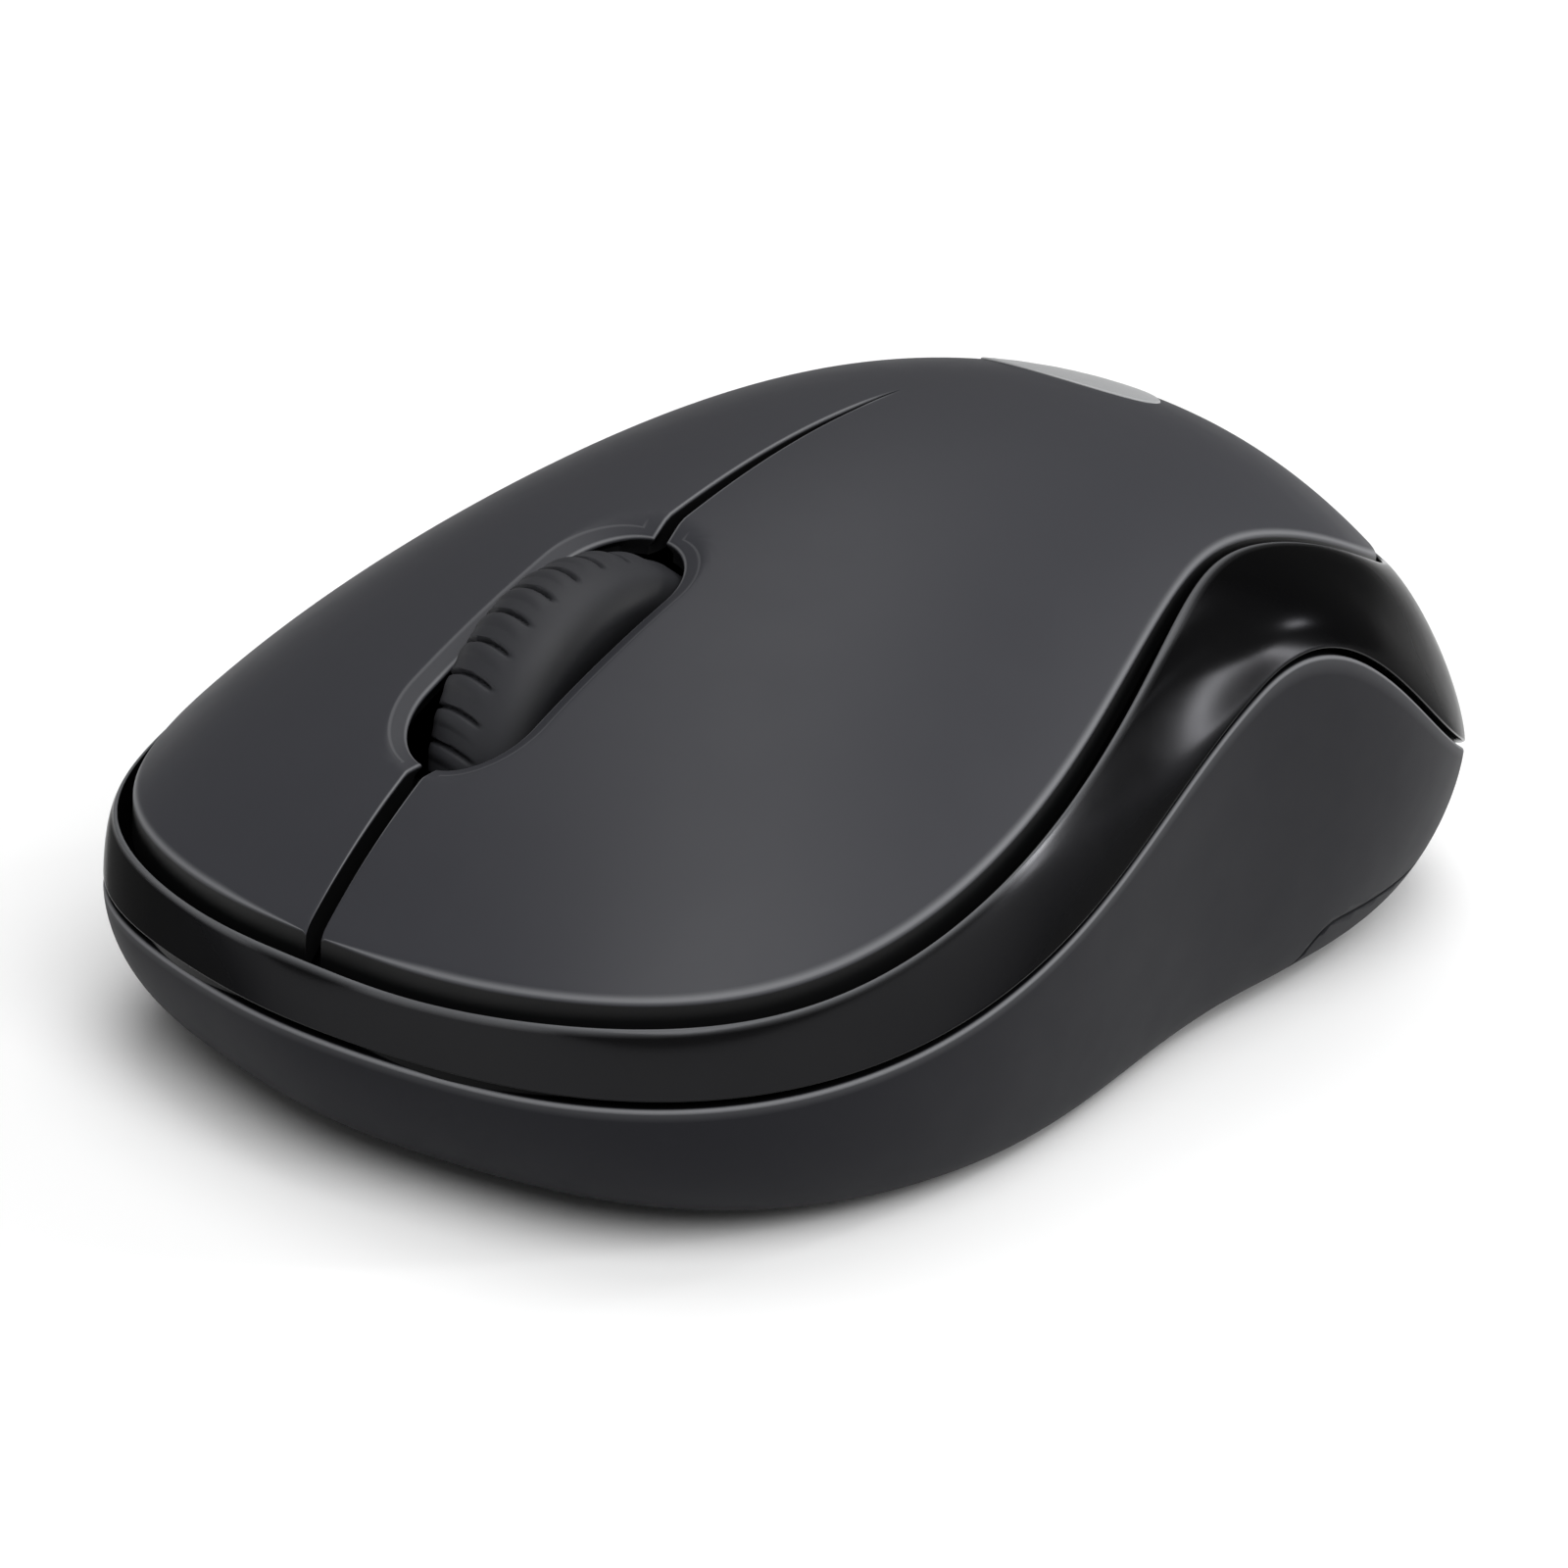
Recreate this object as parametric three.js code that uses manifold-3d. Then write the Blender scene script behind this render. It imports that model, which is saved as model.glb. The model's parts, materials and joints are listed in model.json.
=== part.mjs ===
// A compact cordless mouse: two click buttons, a scroll wheel, and a sliding battery door underneath.
// Millimetres, +Z up, nose towards -Y, the thumb side of a right-handed user towards +X.
import * as THREE from "three";
import { mergeVertices } from "three/addons/utils/BufferGeometryUtils.js";
import Module from "manifold-3d";

const wasm = await Module();
wasm.setup();

// ---------------------------------------------------------------- driving dimensions
const LENGTH = 99; // nominal length that the outlines are fractions of
const WIDTH = 60; // nominal width, the same
const FOOT_THICK = 0.75; // glide feet, resting at z = 0
const FOOT_INSET = 2.2; // from the base's edge
const FOOT_WIDTH = 3.6;
const FLOOR_Z = 1; // underside of the floor
const FLOOR_THICK = 1.8;
const WALL = 1.7; // side walls of the case and the band
const COVER_THICK = 1.8; // top cover
const FIT = 0.3; // clearance between pieces that touch or are fixed together
const GAP_FRONT = 0.9; // dark gap round the front of the cover
const GAP_REAR = 0.4; // the same gap behind the waist, where nothing moves
const PRESS_ROOM = 1.3; // room below the cover's edge for a click

// Outlines seen from above, as fractions of the half sizes at every 20 degrees from nose to tail.
const COVER_EDGE = [0.965, 1.01, 1.11, 1.09, 0.87, 0.72, 0.76, 0.9, 0.91, 0.94];
const SEAM_EDGE = [0.99, 1.02, 1.14, 1.13, 0.97, 0.93, 1.04, 1.1, 1.085, 1.03];
const BASE_EDGE = [0.825, 0.855, 0.945, 0.99, 0.875, 0.78, 0.825, 0.94, 0.955, 0.935];
// Height of the seam between the band and the case at the same angles, and the dip behind the waist.
const SEAM_HEIGHT = [10.1, 9.9, 10.6, 12.1, 17.7, 26.3, 24.9, 12.1, 10.8, 12.5];
const SEAM_DIP = 4.95;
const SEAM_DIP_ANGLE = 120.5;
const SEAM_DIP_REACH = 22.5; // in degrees to each side
// The crown of the cover from nose to tail, how far it falls at five sixths of the half width by a
// square law, and by a fourth power law.
const CROWN_HEIGHT = [12.1, 18.3, 28.3, 36.2, 38.3, 33.2, 23, 17.1];
const CROWN_FALL = [4.4, 4.7, 6.1, 9, 9.8, 10.3, 8.9, 2.7];
const CROWN_ROLL = [3.75, 1.7, 1.75, 4.2];
// The exponent of the band's section at every 20 degrees: 2 is an ellipse, and less is flatter.
const BAND_FULLNESS = [2.2, 2.2, 2.1, 1.8, 1.6, 1.6, 1.4, 1.3, 1.2, 1.2];
const SKIRT_FULLNESS = 1.75;
const RIM_DROP = 0.2; // the band's rim lies this far below the cover's surface
const SHELF_WIDTH = 3.4; // of the band's shelf under the cover

// Cover: buttons, wheel slot and slit.
const HINGE_Y = 3.4; // where the slit ends and the buttons begin to flex
const SLIT_NOSE = 1.25;
const SLIT_END = 0.6;
const SLOT_Y = -28.7; // middle of the wheel slot
const SLOT_HALF_LENGTH = 9.7;
const SLOT_HALF_WIDTH = 4.2;
const SLOT_BEZEL = 1.2; // width of the sloping rim round the slot
const SLOT_BEZEL_DEPTH = 0.8;

// Wheel and its carrier.
const WHEEL_RISE = 2.4; // how far the tyre stands out of the cover at the slot's middle
const WHEEL_RADIUS = 11.5;
const WHEEL_HALF_WIDTH = 3.7;
const TYRE_THICK = 2.4;
const TYRE_ROLL = 2.28; // how far the tyre's shoulders fall below its crown
const TYRE_CURVE = 2.4; // exponent of its section
const GROOVES = 32;
const GROOVE_DEPTH = 0.25;
const AXLE_RADIUS = 1.5;
const WHEEL_ROOM = 0.8; // room round the wheel under the cover
const SPOKE_WINDOWS = 12;
const ARM_THICK = 1.4;
const PIVOT_AHEAD_OF_CELL = 2.5; // the pin that the carrier tilts on
const PIVOT_BELOW_AXLE = 0.7;
const PIN_RADIUS = 1;
const DRUM_RADIUS = 2.2; // click drum on the axle
const DRUM_REACH = 2.5; // how far it reaches past the arm
const WINDOW_WIDTH = 1.7;
const PRESS_HALF = 1.6; // of the tab over the middle switch
const LUG_BEHIND_AXLE = 7;
const STRIP_THICK = 0.35; // of the click strip

// Board and switches.
const BOARD_Z = 5;
const BOARD_THICK = 1.2;
const BOARD_OUTLINE = [[9, -38.4], [17.5, -34.6], [20.5, -29]]; // of its left front half
const BOARD_REAR_Y = -13.2;
const SWITCH_X = 15;
const SWITCH_Y = -27;
const SWITCH_SIZE = [5.8, 12.8, 6.5];
const PLUNGER_Y = -31;
const PLUNGER_SIZE = [2.9, 1.9]; // of the hole that a plunger slides in
const PLUNGER_RISE = 0.9;
const RIB_SIZE = [3, 1.6]; // of the rib under a button that presses the plunger
const MIDDLE_SWITCH_X = -8.4;
const MIDDLE_SWITCH_HEIGHT = 3.6;
const MIDDLE_STEM_RADIUS = 1.5;
const STEM_BELOW_AXLE = 3.7;
const ENCODER_X = 5.6;
const ENCODER_AHEAD = 5; // of the axle
const ENCODER_REACH = [9.5, 4.9]; // its bottom and top below the axle
const BOARD_SCREW_AT = [17.8, -15.8];
const BOARD_SCREW_RADIUS = 0.9;
const BOARD_SCREW_HEAD = [1.9, 1.1];

// Battery, its bay and the receiver.
const CELL_RADIUS = 7.25;
const CELL_LENGTH = 50.5;
const CELL_FRONT_Y = -7.5;
const CELL_ABOVE_FLOOR = 0.8;
const BAY_ROOM = 0.4; // round the cell in its bay
const BAY_WALL = 1.2;
const BAY_TOP = 13.5;
const CONTACT_ROOM = 1.1; // behind the cell, for its contact
const CONTACT_SIZE = 8;
const SPRING_LENGTH = 3.2;
const SPRING_WIRE = 0.3; // radius
const RECEIVER_SIZE = [6.1, 18.7, 14.4];
const RECEIVER_FRONT_Y = 15.8;
const POCKET_WALL_LENGTH = 13;
const PLUG_SIZE = [4.5, 12];
const PLUG_SHEET = 0.3;
const RECEIVER_CAP_LENGTH = 6;

// Door, feet and screws.
const DOOR_SHOULDER_Y = 20.3;
const DOOR_PAST_BAY = 1.95; // how far the tongue reaches past the bay's wall on each side
const DOOR_BEHIND_BAY = 6.6; // how far it stays behind the bay's front
const DOOR_LIP_Z = 4.8; // how far the door reaches up the side wall
const SCREW_BESIDE_DOOR = 1; // between a screw head and the door
const SCREW_Y = 9;
const SCREW_RADIUS = 1.3;
const SCREW_HEAD_RADIUS = 2.4;
const SCREW_HEAD_THICK = 1;
const COVER_BOSS_RADIUS = 2.8; // of the bosses under the cover that the screws bite into
const SLIDER_AT = [-12.5, -17];
const SLIDER_KNOB = [2, 2.4];
const SLIDER_BODY = [4.4, 9];
const SLIDER_TRAVEL = 2.6;
const LENS_Y = -17;
const LENS_WINDOW = [8, 6.4];
const LENS_PLATE = [12, 8];
const LENS_BULB_RADIUS = 2.6;
const REAR_RIB_Y = 38;
const UPRIGHT_HALF = 2.5; // of the posts that hold the carrier's pin
const LABEL_SIZE = [18, 15];
const LABEL_Y = 31;
const ARROW = [[-3.5, 5], [3.5, 5], [0, 10]];

const STEPS_ROUND = 54; // stations round the case
const CELL_SIZE = 3; // grid of the cover's surfaces

// ---------------------------------------------------------------- even, smooth curves
// A cosine series that passes through values given at equal angles from 0 to 180 degrees. It is
// level at both ends, so a curve that is mirrored about the centreline has no kink there.
function evenSeries(values) {
  const last = values.length - 1;
  const share = (j) => (j === 0 || j === last ? 0.5 : 1);
  const terms = values.map((_, k) => {
    const sum = values.reduce((s, v, j) => s + share(j) * v * Math.cos((k * j * Math.PI) / last), 0);
    return (2 / last) * share(k) * sum;
  });
  return (angle) => terms.reduce((s, c, k) => s + c * Math.cos(k * angle), 0);
}

const coverEdge = evenSeries(COVER_EDGE);
const seamEdge = evenSeries(SEAM_EDGE);
const baseEdge = evenSeries(BASE_EDGE);
const seamSeries = evenSeries(SEAM_HEIGHT);
const bandFullness = evenSeries(BAND_FULLNESS);
const crownHeight = evenSeries(CROWN_HEIGHT);
const crownFall = evenSeries(CROWN_FALL);
const crownRoll = evenSeries(CROWN_ROLL);

const { clamp, smoothstep, lerp, degToRad, radToDeg } = THREE.MathUtils;
const mirrorAngle = (t) => Math.abs(t > Math.PI ? t - 2 * Math.PI : t);

function seamHeight(angle) {
  const away = (radToDeg(angle) - SEAM_DIP_ANGLE) / SEAM_DIP_REACH;
  const dip = Math.abs(away) < 1 ? Math.cos((away * Math.PI) / 2) ** 2 : 0;
  return seamSeries(angle) - SEAM_DIP * dip;
}

// Height of the cover's outer surface.
const fallReach = (5 / 6) * (WIDTH / 2);
function coverZ(x, y) {
  const angle = Math.acos(clamp((-2 * y) / LENGTH, -1, 1));
  const q = (x / fallReach) ** 2;
  return crownHeight(angle) - crownFall(angle) * q - crownRoll(angle) * q * q;
}

// Height of a surface that lies a given depth below the cover, measured square to it.
function belowCover(x, y, depth) {
  const h = 0.1;
  const sx = (coverZ(x + h, y) - coverZ(x - h, y)) / (2 * h);
  const sy = (coverZ(x, y + h) - coverZ(x, y - h)) / (2 * h);
  return coverZ(x, y) - depth * Math.hypot(1, sx, sy);
}

// A point of an outline, pushed outwards by a distance. Angle 0 is the nose, 180 degrees the tail.
function outline(edge, t, push = 0) {
  const at = (a) => {
    const r = edge(mirrorAngle(a));
    return new THREE.Vector2((WIDTH / 2) * r * Math.sin(a), (-LENGTH / 2) * r * Math.cos(a));
  };
  const p = at(t);
  const along = at(t + 0.01).sub(at(t - 0.01)).normalize();
  return p.add(new THREE.Vector2(along.y, -along.x).multiplyScalar(push));
}

const halfGap = (t) =>
  lerp(GAP_FRONT, GAP_REAR, smoothstep(mirrorAngle(t), degToRad(80), degToRad(110))) / 2;

const angles = Array.from({ length: STEPS_ROUND }, (_, i) => (2 * Math.PI * i) / STEPS_ROUND);

// The axle lies square below the slot's middle, and the carrier's pin ahead of the battery.
const slotSlope = (coverZ(0, SLOT_Y + 0.1) - coverZ(0, SLOT_Y - 0.1)) / 0.2;
const axleDepth = (WHEEL_RADIUS - WHEEL_RISE) / Math.hypot(1, slotSlope);
const axleY = SLOT_Y + axleDepth * slotSlope;
const axleZ = coverZ(0, SLOT_Y) - axleDepth;
const pivotY = CELL_FRONT_Y - PIVOT_AHEAD_OF_CELL;
const pivotZ = axleZ - PIVOT_BELOW_AXLE;
const tall = LENGTH; // reaches past everything, for cutters

// ---------------------------------------------------------------- solids
function solid(geometry) {
  const g = geometry.clone();
  g.deleteAttribute("normal");
  g.deleteAttribute("uv");
  const merged = mergeVertices(g, 1e-4);
  return new wasm.Manifold(
    new wasm.Mesh({
      numProp: 3,
      vertProperties: new Float32Array(merged.attributes.position.array),
      triVerts: new Uint32Array(merged.index.array),
    }),
  );
}

function geometryOf(shape) {
  const { vertProperties, triVerts } = shape.getMesh();
  const g = new THREE.BufferGeometry();
  g.setAttribute("position", new THREE.BufferAttribute(new Float32Array(vertProperties), 3));
  g.setIndex(new THREE.BufferAttribute(new Uint32Array(triVerts), 1));
  return g;
}

const join = (...shapes) => shapes.reduce((a, b) => a.add(b));

// A box between two corners.
function box(x0, x1, y0, y1, z0, z1) {
  const g = new THREE.BoxGeometry(x1 - x0, y1 - y0, z1 - z0);
  return solid(g.translate((x0 + x1) / 2, (y0 + y1) / 2, (z0 + z1) / 2));
}

// A box given by its middle in plan, its size in plan and its two heights.
const block = (x, y, sx, sy, z0, z1) => box(x - sx / 2, x + sx / 2, y - sy / 2, y + sy / 2, z0, z1);

// A round post standing on z0.
function post(x, y, radius, z0, z1, sides = 20) {
  const g = new THREE.CylinderGeometry(radius, radius, z1 - z0, sides).rotateX(Math.PI / 2);
  return solid(g.translate(x, y, (z0 + z1) / 2));
}

// A round bar along X.
function bar(x0, x1, y, z, radius, sides = 20) {
  const g = new THREE.CylinderGeometry(radius, radius, x1 - x0, sides).rotateZ(-Math.PI / 2);
  return solid(g.translate((x0 + x1) / 2, y, z));
}

// A body turned about the X axis from points [x, radius], then moved to an axle.
function turnedX(profile, y, z, sides) {
  const g = new THREE.LatheGeometry(profile.map(([x, r]) => new THREE.Vector2(r, x)), sides);
  return solid(g.rotateZ(-Math.PI / 2).translate(0, y, z));
}

// A body turned about the Y axis from points [y, radius].
function turnedY(profile, x, z, sides) {
  const g = new THREE.LatheGeometry(profile.map(([y, r]) => new THREE.Vector2(r, y)), sides);
  return solid(g.translate(x, 0, z));
}

// A flat outline pulled up from z0 to z1.
function prism(points, z0, z1) {
  const g = new THREE.ExtrudeGeometry(new THREE.Shape(points), { depth: z1 - z0, bevelEnabled: false });
  return solid(g.translate(0, 0, z0));
}

// A side view outline [y, z] pulled along X.
function sidePlate(points, x0, x1) {
  const shape = new THREE.Shape(points.map(([y, z]) => new THREE.Vector2(y, z)));
  const g = new THREE.ExtrudeGeometry(shape, { depth: x1 - x0, bevelEnabled: false });
  g.applyMatrix4(new THREE.Matrix4().makeBasis(
    new THREE.Vector3(0, 1, 0), new THREE.Vector3(0, 0, 1), new THREE.Vector3(1, 0, 0)));
  return solid(g.translate(x0, 0, 0));
}

// Turns a list of faces, each three or four corner points, into one solid.
function fromFaces(faces) {
  const p = [];
  for (const [a, b, c, d] of faces)
    for (const v of d ? [a, b, c, a, c, d] : [a, b, c]) p.push(v.x, v.y, v.z);
  const g = new THREE.BufferGeometry();
  g.setAttribute("position", new THREE.Float32BufferAttribute(p, 3));
  return solid(g);
}

// A ring whose closed cross section is given at each station.
function ring(rows) {
  const faces = [];
  rows.forEach((row, i) => {
    const next = rows[(i + 1) % rows.length];
    row.forEach((_, j) => {
      const k = (j + 1) % row.length;
      faces.push([row[j], row[k], next[k], next[j]]);
    });
  });
  return fromFaces(faces);
}

// A body whose side is given at each station as points from top to bottom, with a fan at each end.
function loft(rows) {
  const last = rows[0].length - 1;
  const middle = (j) =>
    rows.reduce((sum, row) => sum.add(row[j]), new THREE.Vector3()).divideScalar(rows.length);
  const [top, bottom] = [middle(0), middle(last)];
  const faces = [];
  rows.forEach((row, i) => {
    const next = rows[(i + 1) % rows.length];
    for (let j = 0; j < last; j++) faces.push([row[j], row[j + 1], next[j + 1], next[j]]);
    faces.push([top, row[0], next[0]], [bottom, next[last], row[last]]);
  });
  return fromFaces(faces);
}

// A slab between two surfaces z = upper(x, y) and z = lower(x, y) over a rectangle.
function slab(upper, lower, x0, x1, y0, y1) {
  const nx = Math.ceil((x1 - x0) / CELL_SIZE);
  const ny = Math.ceil((y1 - y0) / CELL_SIZE);
  const at = (f, i, j) => {
    const x = lerp(x0, x1, i / nx);
    const y = lerp(y0, y1, j / ny);
    return new THREE.Vector3(x, y, f(x, y));
  };
  const quads = [];
  const wall = (i, j, k, l) =>
    quads.push([at(lower, i, j), at(lower, k, l), at(upper, k, l), at(upper, i, j)]);
  for (let i = 0; i < nx; i++)
    for (let j = 0; j < ny; j++) {
      quads.push([at(upper, i, j), at(upper, i + 1, j), at(upper, i + 1, j + 1), at(upper, i, j + 1)]);
      quads.push([at(lower, i, j + 1), at(lower, i + 1, j + 1), at(lower, i + 1, j), at(lower, i, j)]);
    }
  for (let i = 0; i < nx; i++) {
    wall(i, 0, i + 1, 0);
    wall(i + 1, ny, i, ny);
  }
  for (let j = 0; j < ny; j++) {
    wall(nx, j, nx, j + 1);
    wall(0, j + 1, 0, j);
  }
  return fromFaces(quads);
}

// ---------------------------------------------------------------- places inside the case
const floorTop = FLOOR_Z + FLOOR_THICK;
const cellZ = floorTop + CELL_ABOVE_FLOOR + CELL_RADIUS;
const bayHalf = CELL_RADIUS + BAY_ROOM;
const bayFrontY = CELL_FRONT_Y - SPRING_LENGTH - 0.7;
const cellRearY = CELL_FRONT_Y + CELL_LENGTH;
const bayRearY = cellRearY + CONTACT_ROOM;
const pocketX = bayHalf + BAY_WALL + FIT + 0.15;
const pocketOuterX = pocketX + RECEIVER_SIZE[0] + FIT;
const doorHalfWidth = bayHalf + BAY_WALL + DOOR_PAST_BAY; // of the tongue in front of the shoulders
const screwX = doorHalfWidth + SCREW_HEAD_RADIUS + SCREW_BESIDE_DOOR;

// ---------------------------------------------------------------- the outer shell
const vec = (plan, z) => new THREE.Vector3(plan.x, plan.y, z);

// A strip that bulges from a top point to a bottom point: it leaves the top flat and ends upright.
function bulge(top, bottom, fullness, share) {
  const th = (share * Math.PI) / 2;
  const out = Math.sin(th) ** (2 / fullness);
  const down = 1 - Math.cos(th) ** (2 / fullness);
  const p = top.clone().lerp(bottom, out);
  p.z = lerp(top.z, bottom.z, down);
  return p;
}

// The band's outer section at an angle, from its rim beside the cover down to the seam.
function bandPoint(t, share) {
  const rim = outline(coverEdge, t, halfGap(t));
  const top = vec(rim, coverZ(rim.x, rim.y) - RIM_DROP);
  const seam = vec(outline(seamEdge, t), seamHeight(mirrorAngle(t)));
  return bulge(top, seam, bandFullness(mirrorAngle(t)), share);
}

// The skirt's outer section: it leaves the seam upright and tucks in to the base.
function skirtPoint(t, share) {
  const top = vec(outline(seamEdge, t), seamHeight(mirrorAngle(t)) - FIT);
  const bottom = vec(outline(baseEdge, t), FLOOR_Z);
  const th = (share * Math.PI) / 2;
  const down = Math.sin(th) ** (2 / SKIRT_FULLNESS);
  const inwards = 1 - Math.cos(th) ** (2 / SKIRT_FULLNESS);
  const p = top.clone().lerp(bottom, inwards);
  p.z = lerp(top.z, bottom.z, down);
  return p;
}

// Moves a section point into the wall, square to the section.
function inset(point, t, share, depth) {
  const h = 0.02;
  const a = point(t, Math.max(share - h, 0));
  const b = point(t, Math.min(share + h, 1));
  const edge = outline(seamEdge, t);
  const out = outline(seamEdge, t, 1).sub(edge);
  const run = (b.x - a.x) * out.x + (b.y - a.y) * out.y;
  const fall = b.z - a.z;
  const size = Math.hypot(run, fall);
  const p = point(t, share);
  const across = (-fall / size) * depth;
  return new THREE.Vector3(p.x - out.x * across, p.y - out.y * across, p.z - (run / size) * depth);
}

// The gloss band, with a shelf that runs under the cover's edge, clear of the battery and bosses.
function sideBand() {
  const shares = [0, 0.12, 0.3, 0.5, 0.7, 0.88, 1];
  const cellSpace = turnedY([
    [CELL_FRONT_Y, 0], [CELL_FRONT_Y, bayHalf], [bayRearY, bayHalf], [bayRearY, 0],
  ], 0, cellZ, 32);
  const band = ring(angles.map((t) => {
    const shelf = (push, depth) => {
      const p = outline(coverEdge, t, push);
      return vec(p, belowCover(p.x, p.y, depth));
    };
    const outer = shares.map((s) => bandPoint(t, s));
    const foot = outer[outer.length - 1];
    const footIn = vec(outline(seamEdge, t, -WALL), foot.z);
    const inner = [0.7, 0.4].map((s) => inset(bandPoint, t, s, WALL));
    const shelfTop = COVER_THICK + PRESS_ROOM;
    return [
      ...outer,
      footIn,
      ...inner,
      shelf(-SHELF_WIDTH / 2, shelfTop + WALL),
      shelf(-SHELF_WIDTH, shelfTop + WALL),
      shelf(-SHELF_WIDTH, shelfTop),
      shelf(halfGap(t) - 0.1, shelfTop),
    ];
  }));
  const bossSpaces = [1, -1].map((side) =>
    post(side * screwX, SCREW_Y, COVER_BOSS_RADIUS + FIT, 0, tall));
  return band.subtract(join(cellSpace, ...bossSpaces));
}

function skirtRing() {
  const shares = [0, 0.2, 0.4, 0.6, 0.8, 1];
  return ring(angles.map((t) => {
    const outer = shares.map((s) => skirtPoint(t, s));
    const base = outline(baseEdge, t, -WALL);
    const inner = [0.8, 0.55, 0.3].map((s) => inset(skirtPoint, t, s, WALL));
    const top = outer[0];
    return [...outer, vec(base, FLOOR_Z), ...inner, vec(outline(seamEdge, t, -WALL), top.z)];
  }));
}

const basePlan = (push) => angles.map((t) => outline(baseEdge, t, push));
const floorPlate = () => prism(basePlan(-WALL / 2), FLOOR_Z, floorTop);

// Everything inside the case's outer skin, used to trim ribs.
const caseInside = () => {
  const levels = [0.3, 0.55, 0.8];
  const headroom = 6; // over the seam
  return loft(angles.map((t) => [
    vec(outline(seamEdge, t, -WALL / 2), seamHeight(mirrorAngle(t)) + headroom),
    vec(outline(seamEdge, t, -WALL / 2), seamHeight(mirrorAngle(t)) - FIT),
    ...levels.map((s) => inset(skirtPoint, t, s, WALL / 2)),
    vec(outline(baseEdge, t, -WALL / 2), FLOOR_Z + 0.2),
  ]));
};

// ---------------------------------------------------------------- cover and buttons
// The stadium round the wheel slot, for a given width and length.
function stadium(halfWidth, halfLength) {
  const points = [];
  const steps = 10;
  const straight = halfLength - halfWidth;
  for (const end of [1, -1])
    for (let i = 0; i <= steps; i++) {
      const a = (Math.PI * i) / steps + (end < 0 ? Math.PI : 0);
      const y = SLOT_Y + end * straight + halfWidth * Math.sin(a);
      points.push(new THREE.Vector2(halfWidth * Math.cos(a), y));
    }
  return points;
}

function coverSheet() {
  const sheet = slab(
    (x, y) => coverZ(x, y),
    (x, y) => belowCover(x, y, COVER_THICK),
    -WIDTH / 2, WIDTH / 2, -LENGTH / 2, LENGTH / 2);
  return sheet.intersect(prism(angles.map((t) => outline(coverEdge, t, -halfGap(t))), 0, tall));
}

// The wheel slot with its sloping rim, as a cutter.
function slotCutter() {
  const above = 3;
  const outer = stadium(SLOT_HALF_WIDTH + SLOT_BEZEL, SLOT_HALF_LENGTH + SLOT_BEZEL);
  const grow = (above + SLOT_BEZEL_DEPTH) / SLOT_BEZEL_DEPTH;
  return loft(stadium(SLOT_HALF_WIDTH, SLOT_HALF_LENGTH).map((inner, i) => {
    const far = inner.clone().lerp(outer[i], grow);
    const rim = coverZ(outer[i].x, outer[i].y);
    return [vec(far, rim + above), vec(inner, coverZ(inner.x, inner.y) - SLOT_BEZEL_DEPTH), vec(inner, 0)];
  }));
}

function slitCutter() {
  const [nose, end] = [-LENGTH / 2, HINGE_Y + FIT];
  const corners = [[-SLIT_NOSE, nose], [SLIT_NOSE, nose], [SLIT_END, end], [-SLIT_END, end]];
  return prism(corners.map(([x, y]) => new THREE.Vector2(x / 2, y)), 0, tall);
}

const boardTop = BOARD_Z + BOARD_THICK;
const switchBase = boardTop + FIT;
const plungerTop = switchBase + SWITCH_SIZE[2] + PLUNGER_RISE;

// One half of the flexing front, with the rib that presses its switch. Side 1 is left, -1 right.
function button(side, sheet, slot, slit) {
  const half = box(...(side > 0 ? [0, WIDTH] : [-WIDTH, 0]), -LENGTH, HINGE_Y, 0, tall);
  const x = side * SWITCH_X;
  const rib = block(x, PLUNGER_Y, ...RIB_SIZE, plungerTop + FIT, coverZ(x, PLUNGER_Y) - COVER_THICK / 2);
  const relief = bar(
    -SLOT_HALF_WIDTH, SLOT_HALF_WIDTH, axleY, axleZ, WHEEL_RADIUS + WHEEL_ROOM, 48);
  return sheet.intersect(half).subtract(join(slot, slit, relief)).add(rib);
}

const screwTop = 15;
const screwHeadZ = FLOOR_Z + 0.5;
const bossTop = 11;

function palmCover(sheet) {
  const rear = sheet.intersect(box(-WIDTH, WIDTH, HINGE_Y + FIT, LENGTH, 0, tall));
  const bosses = [1, -1].map((side) => {
    const x = side * screwX;
    const underside = coverZ(x + side * 2, SCREW_Y) - COVER_THICK;
    const boss = post(x, SCREW_Y, COVER_BOSS_RADIUS, bossTop + FIT, underside);
    return boss.subtract(post(x, SCREW_Y, SCREW_RADIUS + FIT, 0, screwTop + 1));
  });
  return join(rear, ...bosses);
}

// ---------------------------------------------------------------- case and battery door
// The space the door fills, grown by a clearance.
function doorSpace(grow) {
  const halfWidth = doorHalfWidth + grow;
  const frontY = bayFrontY + DOOR_BEHIND_BAY - grow;
  const front = box(-halfWidth, halfWidth, frontY, LENGTH, -tall, floorTop + grow);
  const rear = box(-WIDTH, WIDTH, DOOR_SHOULDER_Y - grow, LENGTH, -tall, DOOR_LIP_Z + grow);
  return front.add(rear);
}

const baseRoot = floorTop - 1; // walls and bosses start inside the floor

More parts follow.
